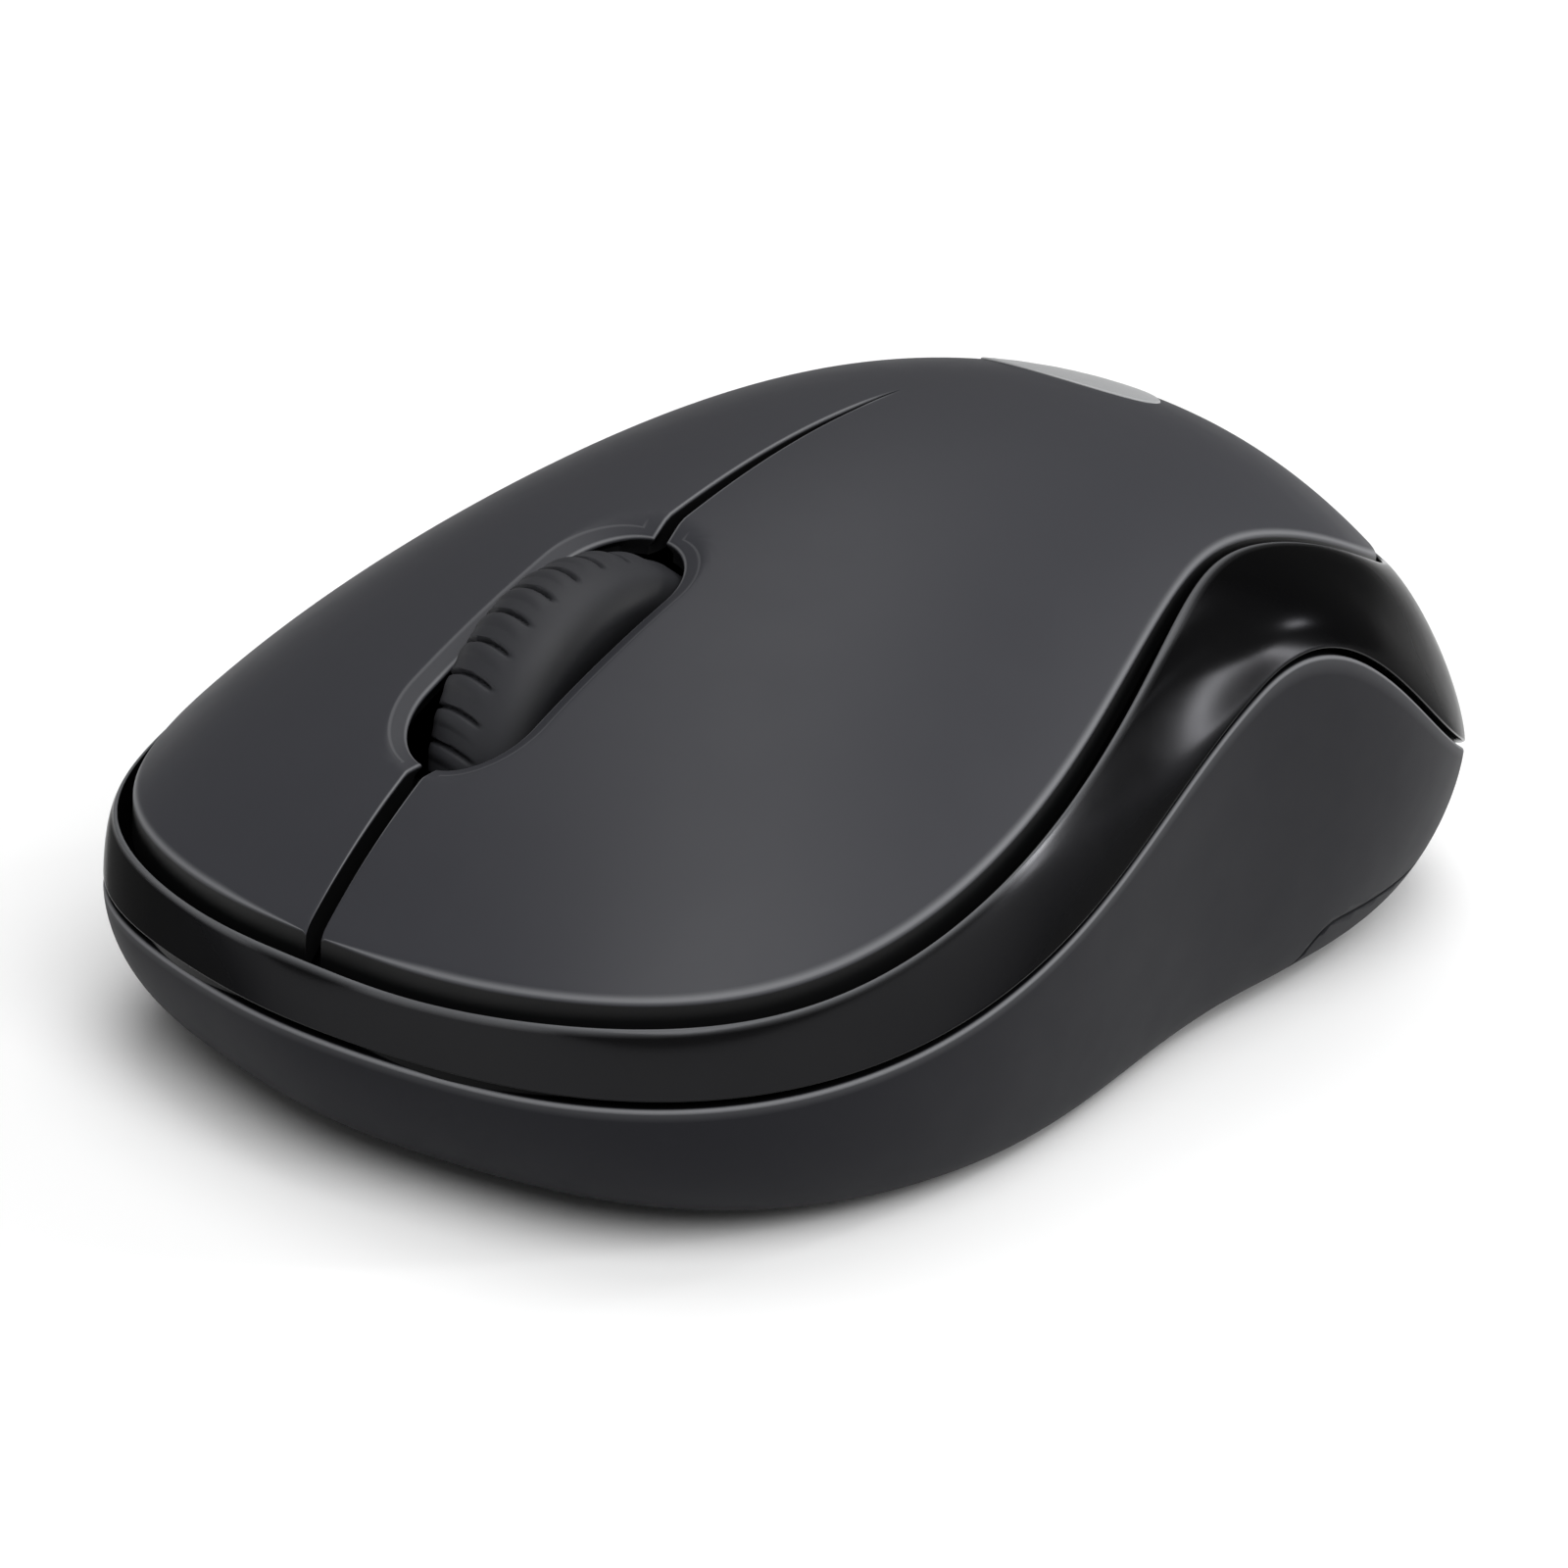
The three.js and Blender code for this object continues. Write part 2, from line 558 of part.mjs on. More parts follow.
// The bay's walls and ends, the cross ribs and the receiver's pocket, at stepped heights.
function innerWalls() {
  const middleY = (bayFrontY + bayRearY) / 2;
  const walls = [1, -1].map((side) => {
    const x = side * (bayHalf + BAY_WALL / 2);
    return block(x, middleY, BAY_WALL, bayRearY - bayFrontY + BAY_WALL, baseRoot, BAY_TOP - 0.4);
  });
  const ends = [bayFrontY - BAY_WALL / 2, bayRearY + BAY_WALL / 2].map((y) =>
    block(0, y, 2 * (bayHalf + BAY_WALL), BAY_WALL, baseRoot, BAY_TOP));
  const pocketFrontY = RECEIVER_FRONT_Y - FIT - BAY_WALL / 2;
  const bayOpening = block(0, 0, 2 * bayHalf + BAY_WALL, 2 * LENGTH, 0, tall);
  const ribs = [[pocketFrontY, BAY_TOP - 1], [REAR_RIB_Y, DOOR_LIP_Z + 5]].map(([y, top]) =>
    block(0, y, WIDTH, BAY_WALL, baseRoot, top).subtract(bayOpening));
  const pocketWall = box(
    pocketOuterX, pocketOuterX + BAY_WALL,
    pocketFrontY, pocketFrontY + POCKET_WALL_LENGTH,
    baseRoot, BAY_TOP - 1.4);
  return join(...walls, ...ends, ...ribs, pocketWall).intersect(caseInside());
}

const sliderWindow = [SLIDER_KNOB[0] + 0.8, SLIDER_KNOB[1] + SLIDER_TRAVEL + 1.2];

function bottomCase() {
  const bossRadius = SCREW_RADIUS + WALL;
  const boardBossRadius = BOARD_SCREW_RADIUS + FIT + 0.8;
  const solids = [1, -1].flatMap((side) => {
    const screwAt = [side * screwX, SCREW_Y];
    const boardScrewAt = [side * BOARD_SCREW_AT[0], BOARD_SCREW_AT[1]];
    const uprightX = side * (bayHalf + BAY_WALL / 2 + 0.1);
    return [
      post(...screwAt, bossRadius, baseRoot, bossTop),
      post(...boardScrewAt, boardBossRadius, baseRoot, BOARD_Z - FIT),
      block(uprightX, pivotY, BAY_WALL, 2 * UPRIGHT_HALF, baseRoot, pivotZ + UPRIGHT_HALF),
    ];
  });
  const bores = [1, -1].flatMap((side) => {
    const screwAt = [side * screwX, SCREW_Y];
    const boardScrewAt = [side * BOARD_SCREW_AT[0], BOARD_SCREW_AT[1]];
    return [
      post(...screwAt, SCREW_RADIUS + FIT, 0, tall),
      post(...screwAt, SCREW_HEAD_RADIUS + FIT, 0, screwHeadZ + SCREW_HEAD_THICK + FIT),
      post(...boardScrewAt, BOARD_SCREW_RADIUS + FIT, floorTop + 0.2, tall),
    ];
  });
  const windows = [
    block(0, LENS_Y, ...LENS_WINDOW, 0, floorTop + 1),
    block(...SLIDER_AT, ...sliderWindow, 0, floorTop + 1),
    bar(-WIDTH, WIDTH, pivotY, pivotZ, PIN_RADIUS + FIT),
  ];
  const shell = join(skirtRing(), floorPlate(), innerWalls(), ...solids);
  return shell.subtract(join(doorSpace(FIT), ...bores, ...windows));
}

// A plate along part of the base outline, between two distances in from its edge.
function footPlate(from, to, outer, inner) {
  const steps = 10;
  const arc = Array.from({ length: steps + 1 }, (_, i) => degToRad(lerp(from, to, i / steps)));
  const points = [
    ...arc.map((t) => outline(baseEdge, t, -outer)),
    ...arc.reverse().map((t) => outline(baseEdge, t, -inner)),
  ];
  return prism(points, 0, FOOT_THICK);
}

function batteryDoor() {
  const shell = join(skirtRing(), floorPlate()).intersect(doorSpace(0));
  const [width, length] = LABEL_SIZE;
  const labelRecess = block(0, LABEL_Y, width + 2 * FIT, length + 2 * FIT, 0, FLOOR_Z + 0.4);
  const arrow = prism(ARROW.map(([x, y]) => new THREE.Vector2(x, y)), 0, FLOOR_Z + 0.5);
  return shell.subtract(labelRecess).subtract(arrow);
}

// A thin film in its recess in the door, just below the recess's roof.
const ratingLabel = () => block(0, LABEL_Y, ...LABEL_SIZE, FLOOR_Z + 0.05, FLOOR_Z + 0.15);

// ---------------------------------------------------------------- wheel and carrier
function tyre() {
  const steps = 8;
  const inner = WHEEL_RADIUS - TYRE_THICK;
  const profile = [[-WHEEL_HALF_WIDTH, inner]];
  for (let i = 0; i <= steps; i++) {
    const u = (2 * i) / steps - 1;
    const fall = TYRE_ROLL * (1 - Math.sqrt(1 - Math.abs(u) ** TYRE_CURVE));
    profile.push([u * WHEEL_HALF_WIDTH, WHEEL_RADIUS - fall]);
  }
  profile.push([WHEEL_HALF_WIDTH, inner], [-WHEEL_HALF_WIDTH, inner]);
  const sides = 2 * GROOVES;
  const g = new THREE.LatheGeometry(profile.map(([x, r]) => new THREE.Vector2(r, x)), sides);
  const p = g.attributes.position;
  for (let i = 0; i < p.count; i++) {
    const station = Math.floor(i / profile.length) % 2;
    const radius = Math.hypot(p.getX(i), p.getZ(i));
    const k = station && radius > WHEEL_RADIUS - 1 ? (radius - GROOVE_DEPTH) / radius : 1;
    p.setX(i, p.getX(i) * k);
    p.setZ(i, p.getZ(i) * k);
  }
  return solid(g.rotateZ(-Math.PI / 2).translate(0, axleY, axleZ));
}

const armX = WHEEL_HALF_WIDTH + 0.7;
const armOuterX = armX + ARM_THICK;

function hub() {
  const rim = WHEEL_RADIUS - TYRE_THICK - FIT;
  const web = WHEEL_HALF_WIDTH - 0.7;
  const stub = armOuterX + 1;
  const drum = [armOuterX + 0.7, armOuterX + DRUM_REACH];
  const body = turnedX([
    [-stub, 0], [-stub, AXLE_RADIUS], [-web, AXLE_RADIUS], [-web, rim], [web, rim], [web, AXLE_RADIUS],
    [drum[0], AXLE_RADIUS], [drum[0], DRUM_RADIUS], [drum[1], DRUM_RADIUS], [drum[1], 0],
  ], axleY, axleZ, 36);
  const [windowIn, windowOut] = [AXLE_RADIUS + 3.6, rim - FIT];
  const windows = Array.from({ length: SPOKE_WINDOWS }, (_, i) => {
    const g = new THREE.BoxGeometry(2 * WIDTH, windowOut - windowIn, WINDOW_WIDTH);
    g.translate(0, (windowIn + windowOut) / 2, 0).rotateX((2 * Math.PI * i) / SPOKE_WINDOWS);
    return solid(g.translate(0, axleY, axleZ));
  });
  return body.subtract(join(...windows));
}

const stemTop = axleZ - STEM_BELOW_AXLE;
const lugY = axleY + LUG_BEHIND_AXLE;

// Two arms from the pin to the axle, joined by a bridge, with a tab that presses the middle switch
// and a lug that holds the click strip.
function cradle() {
  const side = [
    [pivotY + 2.1, pivotZ - 2],
    [pivotY + 2.1, pivotZ + 2],
    [pivotY + 0.4, pivotZ + 2.6],
    [axleY - 1.8, axleZ + 2.1],
    [axleY - 3, axleZ + 0.5],
    [axleY - 3, axleZ - 1.9],
    [axleY - 1.2, axleZ - 3.5],
    [axleY + 2.2, axleZ - 3.5],
    [pivotY - 3.1, pivotZ - 2.2],
  ];
  const arms = [armX, -armOuterX].map((x) => sidePlate(side, x, x + ARM_THICK));
  const bridge = box(-armX, armX, pivotY - 2.3, pivotY + 2, pivotZ - 2, pivotZ + 2);
  const press = box(
    MIDDLE_SWITCH_X - PRESS_HALF, -armX - ARM_THICK / 2,
    axleY - PRESS_HALF, axleY + PRESS_HALF,
    stemTop + FIT, stemTop + FIT + ARM_THICK);
  const lug = box(armX + ARM_THICK / 2, armOuterX + DRUM_REACH, lugY, lugY + 2, pivotZ - 2, pivotZ);
  const journal = AXLE_RADIUS + FIT;
  const fork = box(-WIDTH, WIDTH, axleY - journal, axleY + journal, axleZ, tall);
  const cuts = join(
    fork,
    bar(-WIDTH, WIDTH, axleY, axleZ, journal),
    bar(-WIDTH, WIDTH, pivotY, pivotZ, PIN_RADIUS + FIT));
  return join(...arms, bridge, press, lug).subtract(cuts);
}

// A thin bent strip that rubs on the click drum.
function detentSpring() {
  const under = axleZ - DRUM_RADIUS - FIT;
  const line = [
    [lugY - FIT, pivotZ - 1],
    [axleY + 2.4, under - 0.6],
    [axleY, under],
    [axleY - 2.2, under - 0.6],
  ];
  const side = [...line, ...line.map(([y, z]) => [y, z - STRIP_THICK]).reverse()];
  return sidePlate(side, armOuterX + 0.9, armOuterX + DRUM_REACH - 0.2);
}

// ---------------------------------------------------------------- board and switches
function board() {
  const half = [...BOARD_OUTLINE, [BOARD_OUTLINE.at(-1)[0], BOARD_REAR_Y]];
  const points = [...half, ...half.map(([x, y]) => [-x, y]).reverse()];
  const plate = prism(points.map(([x, y]) => new THREE.Vector2(x, y)), BOARD_Z, boardTop);
  const holes = [1, -1].map((side) =>
    post(side * BOARD_SCREW_AT[0], BOARD_SCREW_AT[1], BOARD_SCREW_RADIUS + FIT, 0, tall));
  return plate.subtract(join(block(0, LENS_Y, 5, 5, 0, tall), ...holes));
}

const switchTop = switchBase + SWITCH_SIZE[2];
const wellDepth = 2.4; // of the hole a switch's plunger slides in

function switchBody(side) {
  const [width, length] = SWITCH_SIZE;
  const body = block(side * SWITCH_X, SWITCH_Y, width, length, switchBase, switchTop);
  return body.subtract(block(side * SWITCH_X, PLUNGER_Y, ...PLUNGER_SIZE, switchTop - wellDepth, tall));
}

function switchPlunger(side) {
  const [width, length] = PLUNGER_SIZE.map((size) => size - 2 * FIT);
  return block(side * SWITCH_X, PLUNGER_Y, width, length, switchTop - wellDepth / 2, plungerTop);
}

const middleTop = switchBase + MIDDLE_SWITCH_HEIGHT;
function middleSwitchBody() {
  const body = block(MIDDLE_SWITCH_X, axleY, 6, 6, switchBase, middleTop);
  return body.subtract(post(MIDDLE_SWITCH_X, axleY, MIDDLE_STEM_RADIUS + FIT, middleTop - 2.6, tall));
}
const middleSwitchPlunger = () =>
  post(MIDDLE_SWITCH_X, axleY, MIDDLE_STEM_RADIUS, middleTop - 1.4, stemTop);

// Half of the light gate that looks through the hub's windows.
function encoderHalf(side) {
  const [x, y] = [side * ENCODER_X, axleY - ENCODER_AHEAD];
  const [low, high] = ENCODER_REACH.map((reach) => axleZ - reach);
  const legs = [-1.3, 1.3].map((dy) => block(x, y + dy, 0.5, 0.5, switchBase, low + 0.2));
  return join(block(x, y, 2, 4.2, low, high), ...legs);
}

// The clear lens: a plate above the floor and a bulb that looks out of the window.
function lens() {
  const plate = block(0, LENS_Y, ...LENS_PLATE, floorTop + FIT, BOARD_Z - FIT);
  const bulb = post(0, LENS_Y, LENS_BULB_RADIUS, FLOOR_Z + 0.5, floorTop + 1, 24);
  return join(plate, bulb);
}

// ---------------------------------------------------------------- power slide switch
function powerSwitchBody() {
  const [width, length] = SLIDER_KNOB;
  const body = block(...SLIDER_AT, ...SLIDER_BODY, floorTop + FIT, BOARD_Z - FIT);
  return body.subtract(
    block(...SLIDER_AT, width + 2 * FIT, length + SLIDER_TRAVEL + 2 * FIT, 0, BOARD_Z - 3 * FIT));
}

function powerSlider() {
  const [x, y] = SLIDER_AT;
  return block(x, y - SLIDER_TRAVEL / 2, ...SLIDER_KNOB, FLOOR_Z + 0.4, BOARD_Z - 4 * FIT);
}

// ---------------------------------------------------------------- battery, receiver, screws
function batteryCell() {
  const [front, rear] = [CELL_FRONT_Y, cellRearY];
  return turnedY([
    [front, 0], [front, CELL_RADIUS - 0.7], [front + 0.5, CELL_RADIUS], [rear - 1.4, CELL_RADIUS],
    [rear - 1, CELL_RADIUS - 0.5], [rear - 1, 2.75], [rear, 2.75], [rear, 0],
  ], 0, cellZ, 32);
}

// A cone-shaped coil along Y.
class ConeCoil extends THREE.Curve {
  getPoint(u, target = new THREE.Vector3()) {
    const turns = 2.5;
    const radius = lerp(2, 4.6, u);
    const a = 2 * Math.PI * turns * u;
    const from = CELL_FRONT_Y - FIT - SPRING_WIRE;
    const y = lerp(from, from - SPRING_LENGTH + 2 * SPRING_WIRE, u);
    return target.set(radius * Math.cos(a), y, radius * Math.sin(a));
  }
}

function batterySpring() {
  const circle = new THREE.Path().absarc(0, 0, SPRING_WIRE, 0, 2 * Math.PI).getPoints(4).slice(0, -1);
  const path = { steps: 40, extrudePath: new ConeCoil(), bevelEnabled: false };
  return solid(new THREE.ExtrudeGeometry(new THREE.Shape(circle), path).translate(0, 0, cellZ));
}

function batteryContact() {
  const half = CONTACT_SIZE / 2;
  return block(0, cellRearY + CONTACT_ROOM / 2, CONTACT_SIZE, 0.4, cellZ - half, cellZ + half);
}

const [receiverThick, receiverLong, receiverWide] = RECEIVER_SIZE;
const receiverZ = floorTop + CELL_ABOVE_FLOOR + receiverWide / 2;
const receiverBlock = (y0, y1, thick, wide) => {
  const x = pocketX + receiverThick / 2;
  return box(x - thick / 2, x + thick / 2, y0, y1, receiverZ - wide / 2, receiverZ + wide / 2);
};
const receiverRear = RECEIVER_FRONT_Y + receiverLong;
const receiverCap = () =>
  receiverBlock(receiverRear - RECEIVER_CAP_LENGTH, receiverRear, receiverThick, receiverWide);
// The metal shroud is open at its end.
function receiverPlug() {
  const [y0, y1] = [RECEIVER_FRONT_Y, receiverRear - RECEIVER_CAP_LENGTH - FIT];
  const hollow = receiverBlock(y0 - 1, y1 - 2, ...PLUG_SIZE.map((size) => size - 2 * PLUG_SHEET));
  return receiverBlock(y0, y1, ...PLUG_SIZE).subtract(hollow);
}

// A cross recess, as two crossed slots between two heights.
const crossRecess = (x, y, reach, width, z0, z1) =>
  join(block(x, y, reach, width, z0, z1), block(x, y, width, reach, z0, z1));

function caseScrew(side) {
  const [x, y] = [side * screwX, SCREW_Y];
  const middle = screwHeadZ + SCREW_HEAD_THICK / 2;
  const head = post(x, y, SCREW_HEAD_RADIUS, screwHeadZ, screwHeadZ + SCREW_HEAD_THICK);
  const shank = post(x, y, SCREW_RADIUS, middle, screwTop);
  return join(head, shank).subtract(crossRecess(x, y, 2.6, 0.7, 0, middle));
}

function boardScrew(side) {
  const [x, y] = [side * BOARD_SCREW_AT[0], BOARD_SCREW_AT[1]];
  const [headRadius, headThick] = BOARD_SCREW_HEAD;
  const middle = switchBase + headThick / 2;
  const head = post(x, y, headRadius, switchBase, switchBase + headThick);
  const shank = post(x, y, BOARD_SCREW_RADIUS, floorTop + 0.5, middle);
  return join(head, shank).subtract(crossRecess(x, y, 2, 0.6, middle, tall));
}

// ---------------------------------------------------------------- materials and assembly
const finish = (color, roughness, metalness = 0) =>
  new THREE.MeshStandardMaterial({ color, roughness, metalness });
const coverPlastic = finish(0x4c4c50, 0.6);
const casePlastic = finish(0x3a3a3d, 0.65);
const glossPlastic = finish(0x1c1c1e, 0.18);
const rubber = finish(0x2e2f31, 0.75);
const innerPlastic = finish(0x222224, 0.6);
const boardGreen = finish(0x1d5a34, 0.5);
const chipBlack = finish(0x16171a, 0.5);
const steel = finish(0xb8babd, 0.3, 1);
const clear = finish(0xb9c4cc, 0.1);
const footPlastic = finish(0x17171a, 0.4);
const labelFilm = finish(0xc9c9c4, 0.5);
const cellWrap = finish(0x2f6f4f, 0.35);
const redKey = finish(0xb03a2e, 0.5);

const model = new THREE.Group();
function add(name, shape, material, parent = model) {
  const mesh = new THREE.Mesh(geometryOf(shape), material);
  mesh.name = name;
  parent.add(mesh);
}

const caseGroup = new THREE.Group();
const coverGroup = new THREE.Group();
const boardGroup = new THREE.Group();
const wheelGroup = new THREE.Group();
const doorGroup = new THREE.Group();
model.add(caseGroup, coverGroup, boardGroup, wheelGroup, doorGroup);

const sheet = coverSheet();
const slot = slotCutter();
const slit = slitCutter();
add("palm_cover", palmCover(sheet), coverPlastic, coverGroup);
add("left_button", button(1, sheet, slot, slit), coverPlastic, coverGroup);
add("right_button", button(-1, sheet, slot, slit), coverPlastic, coverGroup);
add("side_band", sideBand(), glossPlastic, coverGroup);

add("bottom_case", bottomCase(), casePlastic, caseGroup);
add("foot_front", footPlate(-30, 30, FOOT_INSET, FOOT_INSET + FOOT_WIDTH), footPlastic, caseGroup);
for (const [name, side] of [["left", 1], ["right", -1]])
  add("case_screw_" + name, caseScrew(side), steel, caseGroup);
const pinHalf = bayHalf + BAY_WALL + 0.2;
add("cradle_pin", bar(-pinHalf, pinHalf, pivotY, pivotZ, PIN_RADIUS), steel, caseGroup);
add("power_switch_body", powerSwitchBody(), chipBlack, caseGroup);
add("power_slider", powerSlider(), redKey, caseGroup);
add("battery_cell", batteryCell(), cellWrap, caseGroup);
add("battery_spring", batterySpring(), steel, caseGroup);
add("battery_contact", batteryContact(), steel, caseGroup);
add("receiver_cap", receiverCap(), casePlastic, caseGroup);
add("receiver_plug", receiverPlug(), steel, caseGroup);

add("circuit_board", board(), boardGreen, boardGroup);
for (const [name, side] of [["left", 1], ["right", -1]]) {
  add(name + "_switch_body", switchBody(side), chipBlack, boardGroup);
  add(name + "_switch_plunger", switchPlunger(side), labelFilm, boardGroup);
  add("board_screw_" + name, boardScrew(side), steel, boardGroup);
}
add("middle_switch_body", middleSwitchBody(), chipBlack, boardGroup);
add("middle_switch_plunger", middleSwitchPlunger(), labelFilm, boardGroup);
add("encoder_emitter", encoderHalf(1), clear, boardGroup);
add("encoder_receiver", encoderHalf(-1), chipBlack, boardGroup);

// Plain parts that stand on the board, each by its middle, its size in plan and its height.
const boardPart = (x, y, width, length, height) =>
  block(x, y, width, length, switchBase, switchBase + height);
add("optical_sensor", boardPart(0, LENS_Y, 9, 8, 1.8), chipBlack, boardGroup);
add("sensor_lens", lens(), clear, boardGroup);
add("tracking_lamp", post(7.2, LENS_Y, 1.5, switchBase, switchBase + 3, 16), clear, boardGroup);
add("radio_chip", boardPart(12, LENS_Y - 0.5, 4, 4, 0.9), chipBlack, boardGroup);
add("crystal_can", boardPart(-7.5, LENS_Y, 2.4, 4.6, 1.2), steel, boardGroup);
add("power_capacitor", post(0, -35.4, 2.5, switchBase, switchBase + 5.4), chipBlack, boardGroup);

add("wheel_cradle", cradle(), innerPlastic, wheelGroup);
add("detent_spring", detentSpring(), steel, wheelGroup);
add("wheel_hub", hub(), innerPlastic, wheelGroup);
add("wheel_tyre", tyre(), rubber, wheelGroup);

add("battery_door", batteryDoor(), casePlastic, doorGroup);
for (const [name, side] of [["left", 1], ["right", -1]]) {
  const span = side > 0 ? [145, 164] : [-164, -145];
  add("foot_rear_" + name, footPlate(...span, FOOT_INSET, FOOT_INSET + FOOT_WIDTH), footPlastic, doorGroup);
}
add("rating_label", ratingLabel(), labelFilm, doorGroup);

// The origin is the middle of the whole mouse in plan, on the surface it stands on.
const extent = new THREE.Box3().setFromObject(model);
const middle = extent.getCenter(new THREE.Vector3());
model.position.set(-middle.x, -middle.y, -extent.min.z);

export default model;
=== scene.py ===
"""A compact cordless mouse in its finished looks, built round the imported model."""
import json
import math

import bmesh
import bpy
from mathutils import Matrix, Vector


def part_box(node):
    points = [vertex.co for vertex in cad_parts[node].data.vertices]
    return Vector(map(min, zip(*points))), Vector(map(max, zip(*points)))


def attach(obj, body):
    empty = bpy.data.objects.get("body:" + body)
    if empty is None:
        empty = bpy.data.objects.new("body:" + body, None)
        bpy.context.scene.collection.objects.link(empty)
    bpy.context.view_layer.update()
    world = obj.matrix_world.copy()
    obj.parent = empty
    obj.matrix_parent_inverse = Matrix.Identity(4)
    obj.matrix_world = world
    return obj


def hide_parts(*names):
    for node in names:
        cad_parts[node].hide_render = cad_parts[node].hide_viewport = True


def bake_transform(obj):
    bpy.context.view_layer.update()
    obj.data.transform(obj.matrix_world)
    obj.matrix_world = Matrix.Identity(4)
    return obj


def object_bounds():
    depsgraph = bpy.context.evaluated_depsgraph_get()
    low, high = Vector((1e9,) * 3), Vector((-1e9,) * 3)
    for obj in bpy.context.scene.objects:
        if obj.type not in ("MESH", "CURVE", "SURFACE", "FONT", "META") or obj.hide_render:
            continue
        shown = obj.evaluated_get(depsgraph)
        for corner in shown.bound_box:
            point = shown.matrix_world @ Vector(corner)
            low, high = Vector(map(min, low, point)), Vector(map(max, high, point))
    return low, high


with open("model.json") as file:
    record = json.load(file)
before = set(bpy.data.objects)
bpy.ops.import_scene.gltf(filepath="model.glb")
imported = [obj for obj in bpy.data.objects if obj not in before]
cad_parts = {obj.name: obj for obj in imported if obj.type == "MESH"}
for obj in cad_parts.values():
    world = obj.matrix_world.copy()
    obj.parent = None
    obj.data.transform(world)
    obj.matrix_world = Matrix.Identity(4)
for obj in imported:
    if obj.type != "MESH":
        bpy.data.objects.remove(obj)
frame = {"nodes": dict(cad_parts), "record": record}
cad_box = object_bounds()

# ------------------------------------------------------------------ sizes, in millimetres
MM = 0.001
LENGTH = 99
WIDTH = 60
FLOOR_Z = 1
FLOOR_THICK = 1.8       # of the case's floor, above FLOOR_Z
WALL = 1.7
COVER_THICK = 1.8
GAP_FRONT = 0.9         # between the cover and the band
GAP_REAR = 0.4
GAP_NARROWS = (80, 110)  # degrees from the nose between which the gap narrows
PRESS_ROOM = 1.3        # under the cover, for a click
SEAM_GAP = 0.45         # between the band and the case

# Outlines seen from above, as fractions of the half sizes at every 20 degrees from nose to tail.
COVER_EDGE = [0.965, 1.01, 1.11, 1.09, 0.87, 0.72, 0.76, 0.9, 0.91, 0.94]
SEAM_EDGE = [0.99, 1.02, 1.14, 1.13, 0.97, 0.93, 1.04, 1.1, 1.085, 1.03]
BASE_EDGE = [0.825, 0.855, 0.945, 0.99, 0.875, 0.78, 0.825, 0.94, 0.955, 0.935]
SEAM_HEIGHT = [10.1, 9.9, 10.6, 12.1, 17.7, 26.3, 24.9, 12.1, 10.8, 12.5]
SEAM_DIP = 4.95         # the seam dips this much more behind the waist
SEAM_DIP_ANGLE = 120.5
SEAM_DIP_REACH = 22.5
# The crown of the cover from nose to tail, and how it falls away to the sides.
CROWN_HEIGHT = [12.1, 18.3, 28.3, 36.2, 38.3, 33.2, 23, 17.1]
CROWN_FALL = [4.4, 4.7, 6.1, 9, 9.8, 10.3, 8.9, 2.7]
CROWN_ROLL = [3.75, 1.7, 1.75, 4.2]
FALL_REACH = 25
BAND_FULLNESS = [2.2, 2.2, 2.1, 1.8, 1.6, 1.6, 1.4, 1.3, 1.2, 1.2]
SKIRT_FULLNESS = 1.75
RIM_DROP = 0.2          # the band's rim lies this far below the cover's surface

HINGE_Y = 3.4           # where the slit between the buttons ends
SLIT_NOSE = 0.62        # half width of the slit at the nose
SLIT_SLOT = 0.5         # and just behind the wheel
SLOT_Y = -28.7
SLOT_HALF_LENGTH = 9.7
SLOT_HALF_WIDTH = 4.2
BEZEL_WIDTH = 1.2
BEZEL_DEPTH = 0.7

WHEEL_RADIUS = 11.5
WHEEL_HALF_WIDTH = 3.7
TYRE_THICK = 2.4
TYRE_ROLL = 2.28
GROOVES = 32

STATIONS = 480          # round the case


# ------------------------------------------------------------------ even, smooth curves
def lerp(a, b, u):
    return a + (b - a) * u


def clamp(x, low, high):
    return max(low, min(high, x))


def smoothstep(x, low, high):
    u = clamp((x - low) / (high - low), 0, 1)
    return u * u * (3 - 2 * u)


def even_series(values):
    """A cosine series through values at equal angles from 0 to 180 degrees, level at both ends."""
    last = len(values) - 1

    def share(j):
        return 0.5 if j in (0, last) else 1

    terms = []
    for k in range(last + 1):
        total = sum(share(j) * v * math.cos(k * j * math.pi / last) for j, v in enumerate(values))
        terms.append(2 / last * share(k) * total)
    return lambda angle: sum(c * math.cos(k * angle) for k, c in enumerate(terms))


cover_edge = even_series(COVER_EDGE)
seam_edge = even_series(SEAM_EDGE)
base_edge = even_series(BASE_EDGE)
seam_series = even_series(SEAM_HEIGHT)
crown_height = even_series(CROWN_HEIGHT)
crown_fall = even_series(CROWN_FALL)
crown_roll = even_series(CROWN_ROLL)
band_fullness = even_series(BAND_FULLNESS)


def mirror_angle(t):
    return abs(t - 2 * math.pi if t > math.pi else t)


def seam_height(angle):
    away = (math.degrees(angle) - SEAM_DIP_ANGLE) / SEAM_DIP_REACH
    dip = math.cos(away * math.pi / 2) ** 2 if abs(away) < 1 else 0
    return seam_series(angle) - SEAM_DIP * dip


def cover_z(x, y):
    angle = math.acos(clamp(-2 * y / LENGTH, -1, 1))
    q = (x / FALL_REACH) ** 2
    return crown_height(angle) - crown_fall(angle) * q - crown_roll(angle) * q * q


def below_cover(x, y, depth):
    """Height of a surface a given depth under the cover, measured square to it."""
    h = 0.1
    sx = (cover_z(x + h, y) - cover_z(x - h, y)) / (2 * h)
    sy = (cover_z(x, y + h) - cover_z(x, y - h)) / (2 * h)
    return cover_z(x, y) - depth * math.hypot(1, sx, sy)


